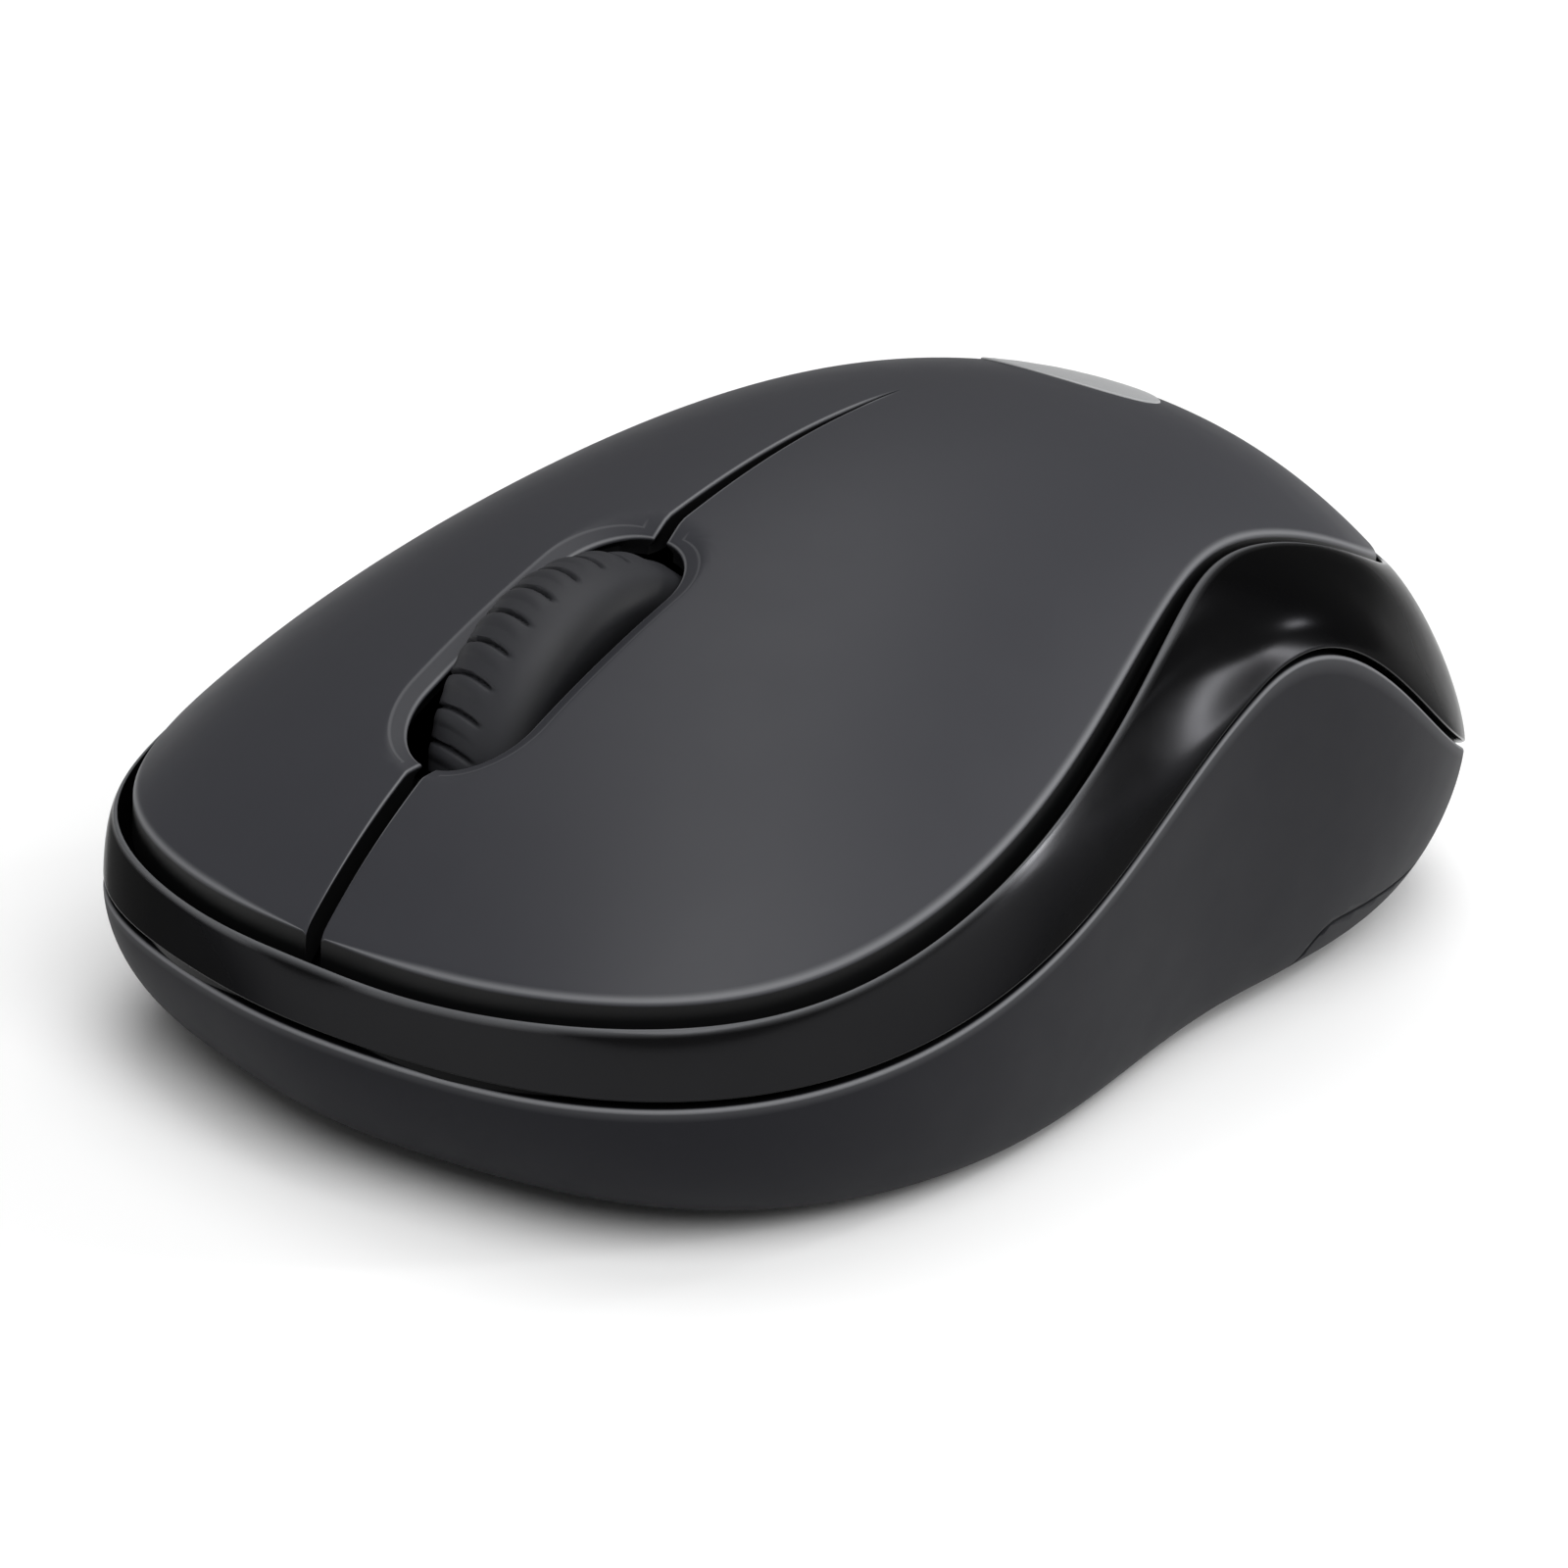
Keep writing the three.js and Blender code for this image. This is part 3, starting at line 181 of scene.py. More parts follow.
def outline_point(edge, t):
    r = edge(mirror_angle(t))
    return Vector((WIDTH / 2 * r * math.sin(t), -LENGTH / 2 * r * math.cos(t)))


def outward(edge, t):
    """The direction in plan that points out of an outline."""
    run = outline_point(edge, t + 0.01) - outline_point(edge, t - 0.01)
    return Vector((run.y, -run.x)).normalized()


def outline(edge, t, push=0):
    return outline_point(edge, t) + outward(edge, t) * push


def half_gap(t):
    """Half the dark gap between the cover and the band."""
    return lerp(GAP_FRONT, GAP_REAR, smoothstep(math.degrees(mirror_angle(t)), *GAP_NARROWS)) / 2


def up(plan, z):
    return Vector((plan.x, plan.y, z))


def bulge(top, bottom, fullness, share):
    """A point of a strip that leaves its top flat and ends upright."""
    th = share * math.pi / 2
    out = math.sin(th) ** (2 / fullness)
    down = 1 - math.cos(th) ** (2 / fullness)
    p = top.lerp(bottom, out)
    p.z = lerp(top.z, bottom.z, down)
    return p


def band_point(t, share):
    rim = outline(cover_edge, t, half_gap(t))
    top = up(rim, cover_z(rim.x, rim.y) - RIM_DROP)
    seam = up(outline(seam_edge, t), seam_height(mirror_angle(t)))
    return bulge(top, seam, band_fullness(mirror_angle(t)), share)


def skirt_point(t, share):
    top = up(outline(seam_edge, t), seam_height(mirror_angle(t)) - SEAM_GAP)
    bottom = up(outline(base_edge, t), FLOOR_Z)
    th = share * math.pi / 2
    p = top.lerp(bottom, 1 - math.cos(th) ** (2 / SKIRT_FULLNESS))
    p.z = lerp(top.z, bottom.z, math.sin(th) ** (2 / SKIRT_FULLNESS))
    return p


def inset(point, t, share, depth):
    """A section point moved into the wall, square to the section."""
    h = 0.02
    a, b = point(t, max(share - h, 0)), point(t, min(share + h, 1))
    out = outward(seam_edge, t)
    run = (b.xy - a.xy).dot(out)
    fall = b.z - a.z
    size = math.hypot(run, fall)
    p = point(t, share)
    return up(p.xy + out * (fall / size) * depth, p.z - run / size * depth)


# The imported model's origin is the middle of its box, and the outlines' is the middle of the
# nominal length, so everything moves along Y by the difference.
SIDES = [outline(seam_edge, math.pi * i / 720).y for i in range(721)]
SHIFT_Y = (cad_box[0].y + cad_box[1].y) / 2 / MM - (min(SIDES) + max(SIDES)) / 2


def place(p):
    """From outline millimetres to metres in the model's frame."""
    return Vector((p[0], p[1] + SHIFT_Y, p[2])) * MM


def rounded(before, corner, after, reach, steps=4):
    """The points of a rounded corner that starts and ends at a reach from it."""
    a = corner + (before - corner).normalized() * reach
    b = corner + (after - corner).normalized() * reach
    points = []
    for i in range(steps + 1):
        u = i / steps
        points.append(a * (1 - u) ** 2 + corner * (2 * u * (1 - u)) + b * u * u)
    return points


def chain_length(points):
    return sum((b - a).length for a, b in zip(points, points[1:]))


def along(points, distance):
    """The point at a distance along a chain of points."""
    for a, b in zip(points, points[1:]):
        step = (b - a).length
        if distance <= step:
            return a.lerp(b, distance / step)
        distance -= step
    return points[-1]


def spread(points, start, end, count):
    """Evenly spaced points of a chain, between two distances along it."""
    return [along(points, lerp(start, end, i / (count - 1))) for i in range(count)]


# ------------------------------------------------------------------ mesh tools
def finish_mesh(bm, name, smooth_angle=40):
    mesh = bpy.data.meshes.new(name)
    bm.to_mesh(mesh)
    bm.free()
    piece = bpy.data.objects.new(name, mesh)
    bpy.context.scene.collection.objects.link(piece)
    mesh.shade_smooth()
    mesh.set_sharp_from_angle(angle=math.radians(smooth_angle))
    return piece


def mapped_grid(rows_at, columns, closed=True, painted_light_rows=None):
    """A grid whose columns are the point lists that rows_at gives. A closed one joins up.

    The last argument gives each row's painted light: up to 1 for a painted highlight along a rounded rim,
    and -1 for painted shade on a wall in a gap or hollow.
    """
    table = [rows_at(i) for i in range(columns)]
    rows = len(table[0])
    span = columns if closed else columns - 1
    bm = bmesh.new()
    # painted light of each point: a painted highlight above zero, painted shade below it
    rim = bm.verts.layers.float.new("rim")
    bmesh.ops.create_grid(bm, x_segments=span, y_segments=rows - 1, size=0.5)
    for v in bm.verts:
        i = round((v.co.x + 0.5) * span) % columns
        j = round((v.co.y + 0.5) * (rows - 1))
        v.co = place(table[i][j])
        v[rim] = painted_light_rows(i, j) if painted_light_rows else 0
    bmesh.ops.remove_doubles(bm, verts=bm.verts, dist=2e-7)
    bmesh.ops.dissolve_degenerate(bm, edges=bm.edges, dist=1e-7)
    bmesh.ops.recalc_face_normals(bm, faces=bm.faces)
    return bm


def station(i):
    """The angle of a section of the case, from the nose and round by its left side."""
    return 2 * math.pi * i / STATIONS


# ------------------------------------------------------------------ cover with its two buttons
EDGE_ROUND = 0.45       # how far in the cover's outer edge is rounded
EDGE_FALL = 0.26        # and how far it falls
SLIT_ROUND = 0.22
SLIT_FALL = 0.14
SLIT_FADE = 6           # the slit's rounding grows over this length from its rear end
SLIT_TAPER = 0.7
BEZEL_SOFT = 0.05       # rounds the crease where the dish round the wheel begins
SLOT_STRAIGHT = SLOT_HALF_LENGTH - SLOT_HALF_WIDTH


def slit_half(y):
    """Half the slit's width: it narrows to nothing at its rear end."""
    slot_rear = SLOT_Y + SLOT_HALF_LENGTH
    if y < slot_rear:
        return lerp(SLIT_NOSE, SLIT_SLOT, clamp((y + LENGTH / 2) / (slot_rear + LENGTH / 2), 0, 1))
    return SLIT_SLOT * max(0, 1 - (y - slot_rear) / (HINGE_Y - slot_rear)) ** SLIT_TAPER


def slot_distance(x, y):
    """Distance from the wheel slot's edge, negative inside it."""
    dy = max(0, abs(y - SLOT_Y) - SLOT_STRAIGHT)
    return math.hypot(x, dy) - SLOT_HALF_WIDTH


def edge_drop(distance, reach, fall):
    """How far a rounded edge has fallen at a distance from it."""
    if distance >= reach:
        return 0
    u = 1 - max(distance, 0) / reach
    return fall * (1 - math.sqrt(1 - u * u))


def bezel_drop(distance):
    u = 1 - distance / BEZEL_WIDTH
    return BEZEL_DEPTH * (math.hypot(u, BEZEL_SOFT) + u) / 2 if u > -2 else 0


def cover_lines():
    """Straight lines in plan from the cover's inner edge to its outer edge, nose to tail."""
    nose_t = 0.0
    for _ in range(20):
        p = outline(cover_edge, nose_t, -half_gap(nose_t))
        nose_t += (slit_half(p.y) - p.x) / (WIDTH / 2)
    nose = outline(cover_edge, nose_t, -half_gap(nose_t))
    tail = outline(cover_edge, math.pi, -half_gap(math.pi))
    front, rear = SLOT_Y - SLOT_STRAIGHT, SLOT_Y + SLOT_STRAIGHT

    def arc_start(y):
        return math.asin(slit_half(y) / SLOT_HALF_WIDTH)

    a0 = arc_start(front - SLOT_HALF_WIDTH)
    a1 = arc_start(rear + SLOT_HALF_WIDTH)
    y_front = front - SLOT_HALF_WIDTH * math.cos(a0)
    y_rear = rear + SLOT_HALF_WIDTH * math.cos(a1)

    def slit_line(y_from, y_to):
        return lambda u: Vector((slit_half(lerp(y_from, y_to, u)), lerp(y_from, y_to, u)))

    def arc(y, turn, first, last):
        def at(u):
            a = lerp(first, last, u)
            return Vector((SLOT_HALF_WIDTH * math.sin(a), y - turn * SLOT_HALF_WIDTH * math.cos(a)))
        return at

    def side(u):
        return Vector((SLOT_HALF_WIDTH, lerp(front, rear, u)))

    # Each stretch of the inner edge, how many lines it has, and the outer angle it ends at.
    stretches = [
        (slit_line(nose.y, y_front), 40, 24),
        (arc(front, 1, a0, math.pi / 2), 26, 46),
        (side, 26, 62),
        (arc(rear, -1, math.pi / 2, a1), 26, 73),
        (slit_line(y_rear, HINGE_Y), 46, 96),
        (lambda u: Vector((0, lerp(HINGE_Y, tail.y, u))), 90, 180),
    ]
    lines = []
    t_from = math.degrees(nose_t)
    for inner, count, t_to in stretches:
        for i in range(count):
            u = i / count
            lines.append((inner(u), math.radians(lerp(t_from, t_to, u))))
        t_from = t_to
    lines.append((tail, math.pi))
    return lines


# Distances of the rows next to the outer and inner edges, and the painted highlight each row of a rim
# gets.
NEAR_OUTER = [0, 0.03, 0.07, 0.13, 0.2, 0.28, 0.37, 0.46, 0.58, 0.75, 1.1, 1.6, 2.3]
OUTER_PAINTED_HIGHLIGHT = [0, 0.5, 1, 1, 0.6, 0.2]
NEAR_INNER = [
    0, 0.03, 0.07, 0.12, 0.18, 0.24, 0.32, 0.44, 0.6, 0.8, 0.96, 1.08, 1.16, 1.24, 1.34, 1.55, 2.1,
]
INNER_PAINTED_HIGHLIGHT = [0, 0.5, 1, 0.9, 0.4]
# the rows along the bezel's outer line get a painted highlight of this strength
BEZEL_ROWS = (11, 12)
BEZEL_PAINTED_HIGHLIGHT = 0.3
UNDERCUT = 0.5          # the wheel's opening widens below its edge, so a click clears the tyre
RIM_FADE = 0.1          # below this the walls carry painted shade
COVER_CELLS = 26
UNDER_CELLS = 6
TOP_LAST = len(NEAR_INNER) + COVER_CELLS + len(NEAR_OUTER) - 2     # the row of the outer edge
CLOSING_ROW = TOP_LAST + UNDER_CELLS + 6                            # it meets row 0 again


def cover_column(inner, t):
    """The closed section of the cover along one line: top, outer wall, underside, inner wall."""
    outer = outline(cover_edge, t, -half_gap(t))
    across = outer - inner
    reach = across.length
    slant = max(0.2, across.normalized().dot(outward(cover_edge, t))) if reach > 1e-6 else 1
    k = min(1, 0.45 * reach / (NEAR_INNER[-1] + NEAR_OUTER[-1]))
    shares = [d * k / max(reach, 1e-6) for d in NEAR_INNER]
    far = [1 - d * k / max(reach, 1e-6) for d in reversed(NEAR_OUTER)]
    shares += [lerp(shares[-1], far[0], i / COVER_CELLS) for i in range(1, COVER_CELLS)]
    shares += far

    def height(p):
        from_outer = (1 - (p - inner).length / max(reach, 1e-6)) * reach * slant
        z = cover_z(p.x, p.y) - edge_drop(from_outer, EDGE_ROUND, EDGE_FALL)
        z -= bezel_drop(slot_distance(p.x, p.y))
        open_slit = smoothstep(HINGE_Y - p.y, 0, SLIT_FADE)
        if open_slit > 0:
            to_hole = min(p.x - slit_half(p.y), slot_distance(p.x, p.y))
            z -= edge_drop(to_hole, SLIT_ROUND * max(open_slit, 0.05), SLIT_FALL * open_slit)
        return z

    points = []
    for s in shares:
        p = inner + across * s
        points.append(up(p, height(p)))
    top_inner, top_outer = points[0], points[-1]
    floor_outer = below_cover(outer.x, outer.y, COVER_THICK)
    floor_inner = min(below_cover(inner.x, inner.y, COVER_THICK), top_inner.z - 0.3)
    at_wheel = 1 - smoothstep(slot_distance(inner.x, inner.y), 0, 0.8)
    inner_low = inner + across.normalized() * UNDERCUT * at_wheel
    points.append(up(outer, top_outer.z - RIM_FADE))
    points.append(up(outer, lerp(top_outer.z, floor_outer, 0.5)))
    for i in range(UNDER_CELLS + 1):
        p = outer.lerp(inner_low, i / UNDER_CELLS)
        z = below_cover(p.x, p.y, COVER_THICK)
        points.append(up(p, floor_inner if i == UNDER_CELLS else z))
    points.append(up(inner_low, lerp(top_inner.z, floor_inner, 0.5)))
    points.append(up(inner, top_inner.z - RIM_FADE))
    points.append(top_inner)
    return points


def cover_painted_light(inner, row):
    """The painted light of a row: painted highlights along both edges and the bezel, and painted shade on
    the walls and underside below them.
    """
    if row > TOP_LAST:
        return 0 if row == CLOSING_ROW else -1
    if row < len(INNER_PAINTED_HIGHLIGHT):
        return INNER_PAINTED_HIGHLIGHT[row] * smoothstep(HINGE_Y - inner.y, 0, 4)
    if row in BEZEL_ROWS and slot_distance(inner.x, inner.y) < 0.1:
        return BEZEL_PAINTED_HIGHLIGHT
    if TOP_LAST - row < len(OUTER_PAINTED_HIGHLIGHT):
        return OUTER_PAINTED_HIGHLIGHT[TOP_LAST - row]
    return 0


def cover_half(name, side):
    lines = cover_lines()
    bm = mapped_grid(
        lambda i: cover_column(*lines[i]), len(lines), closed=False,
        painted_light_rows=lambda i, j: cover_painted_light(lines[i][0], j),
    )
    if side < 0:
        bmesh.ops.scale(bm, vec=(-1, 1, 1), verts=bm.verts)
        bmesh.ops.reverse_faces(bm, faces=bm.faces)
    return finish_mesh(bm, name)


# ------------------------------------------------------------------ band and case
RIM_ROUND = 0.26        # size of the small roundings along the band's and the case's rims
RIM_STEPS = 6
FOOT_ROUND = 0.14       # and of the band's lower edge
CASE_RIM_ROUND = 0.3
BASE_ROUND = 0.4
BASE_STEPS = 4
BAND_PAINTED_LIGHT = [-1, 0, 0.8, 1, 1, 1, 0.9, 0.6, 0.2]    # from the gap outwards: painted shade in the gap, then a painted highlight on the rounded rim
# the case's painted light, also from the gap outwards: painted shade, then a painted highlight
CASE_PAINTED_LIGHT = [-1, 0, 0.6, 1, 1, 0.7, 0.2]
RIM_NEXT = (0.42, 0.6)                              # distances of the two rows after the rounding
BAND_ROWS = 30
SHELF_IN = (1.6, 3.4)   # the shelf under the cover reaches in this far, below and at its end
SKIN_STEPS = 70         # fine steps of a section before its rows are spaced evenly
SKIRT_STEPS = 60


def band_column(i):
    t = station(i)

    def shelf(push, depth):
        p = outline(cover_edge, t, push)
        return up(p, below_cover(p.x, p.y, depth))

    skin = [band_point(t, s / SKIN_STEPS) for s in range(SKIN_STEPS + 1)]
    outer = [along(skin, d) for d in (RIM_ROUND, *RIM_NEXT)]
    outer += spread(skin, RIM_NEXT[-1], chain_length(skin) - FOOT_ROUND, BAND_ROWS)[1:]
    rim, foot = skin[0], skin[-1]
    foot_in = up(outline(seam_edge, t, -WALL), foot.z)
    shelf_top = COVER_THICK + PRESS_ROOM
    gap_floor = shelf(half_gap(t) - 0.1, shelf_top)
    rim_round = rounded(gap_floor, rim, outer[0], RIM_ROUND, RIM_STEPS)
    return [
        *rim_round,
        *outer[1:-1],
        *rounded(outer[-1], foot, foot_in, FOOT_ROUND),
        foot_in,
        inset(band_point, t, 0.7, WALL),
        inset(band_point, t, 0.4, WALL),
        shelf(-SHELF_IN[0], shelf_top + WALL),
        shelf(-SHELF_IN[1], shelf_top + WALL),
        shelf(-SHELF_IN[1], shelf_top),
        gap_floor,
        rim_round[0],
    ]


BAND_LAST = RIM_STEPS + 1 + BAND_ROWS


# Painted shade in the gap and on the inner walls, a painted highlight along the rounded rim.
def band_painted_light(i, row):
    if row < len(BAND_PAINTED_LIGHT):
        return BAND_PAINTED_LIGHT[row]
    return -1 if row > BAND_LAST else 0


UNDERSIDE_SHARES = (0, 0.3, 0.6, 0.93)
FLOOR_SHARES = (0.9, 0.6, 0.3, 0)
CASE_ROWS_SIDE = 26
CASE_GAP_ROW = len(UNDERSIDE_SHARES) + BASE_STEPS + 1 + CASE_ROWS_SIDE - 2 + RIM_STEPS


def case_column(i):
    """The whole lower case as a bowl, from the middle of its underside to the middle of its floor."""
    t = station(i)
    skin = [skirt_point(t, j / SKIRT_STEPS) for j in range(SKIRT_STEPS + 1)]
    outer = spread(skin, CASE_RIM_ROUND, chain_length(skin) - BASE_ROUND, CASE_ROWS_SIDE)
    top, bottom = skin[0], skin[-1]
    top_in = up(outline(seam_edge, t, -WALL), top.z)
    base_in = outline(base_edge, t, -WALL)
    floor_top = FLOOR_Z + FLOOR_THICK
    under = [up(bottom.xy * k, FLOOR_Z) for k in UNDERSIDE_SHARES]
    floor = [up(base_in * k, floor_top) for k in FLOOR_SHARES]
    return [
        *under,
        *rounded(under[-1], bottom, outer[-1], BASE_ROUND, BASE_STEPS),
        *reversed(outer[1:-1]),
        *rounded(outer[0], top, top_in, CASE_RIM_ROUND, RIM_STEPS),
        top_in,
        inset(skirt_point, t, 0.3, WALL),
        inset(skirt_point, t, 0.55, WALL),
        inset(skirt_point, t, 0.8, WALL),
        up(base_in, floor_top),
        *floor,
    ]


def case_painted_light(i, row):
    """Painted shade in the gap and on the walls inside, a painted highlight on the rim's rounding. Rows
    run up the outside, so the values run from the outside to the gap.
    """
    if row > CASE_GAP_ROW:
        return -1
    return CASE_PAINTED_LIGHT[CASE_GAP_ROW - row] if CASE_GAP_ROW - row < len(CASE_PAINTED_LIGHT) else 0


band = finish_mesh(mapped_grid(band_column, STATIONS, painted_light_rows=band_painted_light), "gloss_band")
cover_left = cover_half("cover_left_half", 1)
cover_right = cover_half("cover_right_half", -1)


# ------------------------------------------------------------------ openings in the case
FIT = 0.3               # clearance between the door and the case
DOOR_HALF_WIDTH = 10.8  # of the door's tongue under the cell
DOOR_FRONT_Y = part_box("battery_door")[0].y / MM - SHIFT_Y
DOOR_SHOULDER_Y = 20.3  # behind this the door takes the case's full width
DOOR_SHOULDER_ROUND = 2.6
DOOR_TONGUE_ROUND = 2
DOOR_LIP_Z = 4.8
LENS_AT = (0, -17)
LENS_WINDOW = (8, 6.4)
LENS_ROUND = 1.2
SLIDER_AT = (-12.5, -17)
SLIDER_WINDOW = (2.8, 6.2)
SLIDER_ROUND = 0.8
WELL_SIDES = 48
LABEL_RECESS = 0.4
LABEL_ROUND = 1
ARROW = [(-3.5, 5), (3.5, 5), (0, 10)]  # points the way the door slides
ARROW_DEPTH = 0.5
ARROW_ROUND = 0.6
GRIP_SIZE = (12, 0.7)   # the thumb grooves behind the arrow
GRIP_ROUND = 0.3
GRIP_DEPTH = 0.35
GRIP_STEP = 1.6
GRIP_FIRST_Y = 12.5
GRIPS = 5
CORNER_STEPS = 6
CUT_TOP = 4             # cutting shapes for the floor reach up to here
BELOW = -5              # and those for the door start down here
FAR = 80                # well past the case


def rounded_outline(corners, reaches):
    """A closed outline whose corners are rounded over the given reaches. Zero leaves one sharp."""
    points = []
    for i, corner in enumerate(corners):
        here, before = Vector((*corner, 0)), Vector((*corners[i - 1], 0))
        after = Vector((*corners[(i + 1) % len(corners)], 0))
        points += rounded(before, here, after, reaches[i], CORNER_STEPS) if reaches[i] else [here]
    return points


def prism(points, direction, name="tool"):
    """A closed outline of points in space, pushed along a direction. All in outline millimetres."""
    bm = bmesh.new()
    bmesh.ops.create_circle(bm, cap_ends=True, segments=len(points), radius=1)
    for v, p in zip(bm.verts, points):
        v.co = place(p)
    grown = bmesh.ops.extrude_face_region(bm, geom=bm.faces[:])["geom"]
    moved = [v for v in grown if isinstance(v, bmesh.types.BMVert)]
    bmesh.ops.translate(bm, verts=moved, vec=Vector(direction) * MM)
    bmesh.ops.recalc_face_normals(bm, faces=bm.faces)
    return finish_mesh(bm, name)


def upright(corners, reaches, z_low, z_high):
    points = [Vector((p.x, p.y, z_low)) for p in rounded_outline(corners, reaches)]
    return prism(points, (0, 0, z_high - z_low))


def window(middle, size, reach, z_high=CUT_TOP):
    """A shape that cuts a round-cornered opening or recess into the floor from below."""
    (x, y), (w, h) = middle, (size[0] / 2, size[1] / 2)
    corners = [(x - w, y - h), (x + w, y - h), (x + w, y + h), (x - w, y + h)]
    return upright(corners, [reach] * 4, 0, z_high)


def disc(x, y, radius):
    turns = [math.tau * k / WELL_SIDES for k in range(WELL_SIDES)]
    corners = [(x + radius * math.cos(a), y + radius * math.sin(a)) for a in turns]
    return upright(corners, [0] * WELL_SIDES, 0, CUT_TOP)


def carve(piece, tool, operation="DIFFERENCE"):
    """Cut a piece with a tool, join them or keep what they share, and remove the tool."""
    change = piece.modifiers.new("carve", "BOOLEAN")
    change.operation = operation
    change.object = tool
    change.solver = "EXACT"
    graph = bpy.context.evaluated_depsgraph_get()
    carved = bpy.data.meshes.new_from_object(piece.evaluated_get(graph))
    piece.modifiers.clear()
    piece.data = carved
    bpy.data.objects.remove(tool)


def tongue(grow):
    """The front of the door's space, grown by a clearance."""
    half, front = DOOR_HALF_WIDTH + grow, DOOR_FRONT_Y - grow
    corners = [(-half, front), (half, front), (half, FAR), (-half, FAR)]
    reach = DOOR_TONGUE_ROUND + grow
    return upright(corners, [reach, reach, 0, 0], BELOW, FLOOR_Z + FLOOR_THICK + grow)


def shoulders(grow):
    """The rear of the door's space: its upper front corners are rounded, seen from the side."""
    front, lip = DOOR_SHOULDER_Y - grow, DOOR_LIP_Z + grow
    corners = [(front, BELOW), (FAR, BELOW), (FAR, lip), (front, lip)]
    profile = rounded_outline(corners, [0, 0, 0, DOOR_SHOULDER_ROUND])
    return prism([Vector((-FAR, p.x, p.y)) for p in profile], (2 * FAR, 0, 0))


def soften(piece, angle, width):
    """Bevel the edges that are sharper than an angle."""
    bm = bmesh.new()
    bm.from_mesh(piece.data)
    sharp = [e for e in bm.edges if e.is_manifold and e.calc_face_angle(0) > math.radians(angle)]
    bmesh.ops.bevel(
        bm, geom=sharp, offset=width * MM, offset_type="OFFSET", segments=2, profile=0.5,
        affect="EDGES", clamp_overlap=True, material=-1,
    )
    bm.to_mesh(piece.data)
    bm.free()
    piece.data.shade_smooth()
    piece.data.set_sharp_from_angle(angle=math.radians(angle))


def whole_case(name):
    return finish_mesh(mapped_grid(case_column, STATIONS, painted_light_rows=case_painted_light), name)


def node_plan(node):
    """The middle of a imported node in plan, and its size, in outline millimetres."""
    low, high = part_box(node)
    middle, size = (low + high) / 2 / MM, (high - low) / MM
    return middle.x, middle.y - SHIFT_Y, size


def case_with_openings():
    shell = whole_case("case_shell")
    carve(shell, tongue(FIT))
    carve(shell, shoulders(FIT))
    carve(shell, window(LENS_AT, LENS_WINDOW, LENS_ROUND))
    carve(shell, window(SLIDER_AT, SLIDER_WINDOW, SLIDER_ROUND))
    for screw in ("case_screw_left", "case_screw_right"):
        x, y, size = node_plan(screw)
        carve(shell, disc(x, y, size.x / 2 + FIT))
    return shell


def door():
    panel = whole_case("battery_door_panel")
    space = tongue(0)
    carve(space, shoulders(0), "UNION")
    carve(panel, space, "INTERSECT")
    x, y, size = node_plan("rating_label")
    recess = (size.x + 2 * FIT, size.y + 2 * FIT)
    carve(panel, window((x, y), recess, LABEL_ROUND, FLOOR_Z + LABEL_RECESS))
    carve(panel, upright(ARROW, [ARROW_ROUND] * 3, 0, FLOOR_Z + ARROW_DEPTH))
    for k in range(GRIPS):
        middle = (0, GRIP_FIRST_Y + GRIP_STEP * k)
        carve(panel, window(middle, GRIP_SIZE, GRIP_ROUND, FLOOR_Z + GRIP_DEPTH))
    return panel


case_shell = case_with_openings()
door_panel = door()

CORE_SIDES = 96
CORE_TOP = 40
HAIR = 0.02             # keeps the ribs off the shell they stand in


def inner_frame():
    """The bay's walls, ribs and bosses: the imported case, kept only where it is inside the shell."""
    bm = bmesh.new()
    bm.from_mesh(frame["nodes"]["bottom_case"].data)
    bmesh.ops.remove_doubles(bm, verts=bm.verts, dist=1e-6)
    ribs = finish_mesh(bm, "inner_ribs", 30)
    base = FLOOR_Z + FLOOR_THICK + HAIR
    middle = Vector((0, 0, base))

    def inside(i):
        t = math.tau * i / CORE_SIDES
        wall = [inset(skirt_point, t, s, WALL + HAIR) for s in (0.8, 0.55, 0.3)]
        top = up(outline(seam_edge, t, -WALL - HAIR), seam_height(mirror_angle(t)) - SEAM_GAP)
        foot = up(outline(base_edge, t, -WALL - HAIR), base)
        return [middle, foot, *wall, top, Vector((0, 0, CORE_TOP)), middle]

    carve(ribs, finish_mesh(mapped_grid(inside, CORE_SIDES), "core"), "INTERSECT")
    return ribs


ribs = inner_frame()


# ------------------------------------------------------------------ glide feet and badge
FOOT_INSET = 2.2
FOOT_WIDTH = 3.6
FOOT_THICK = 0.75
FOOT_END = 0.45         # how far the round ends stand out, as a share of half the width
FOOT_STEPS = 40
FOOT_END_STEPS = 10
FOOT_SPANS = {"front": (-30, 30), "rear_left": (145, 164), "rear_right": (-164, -145)}


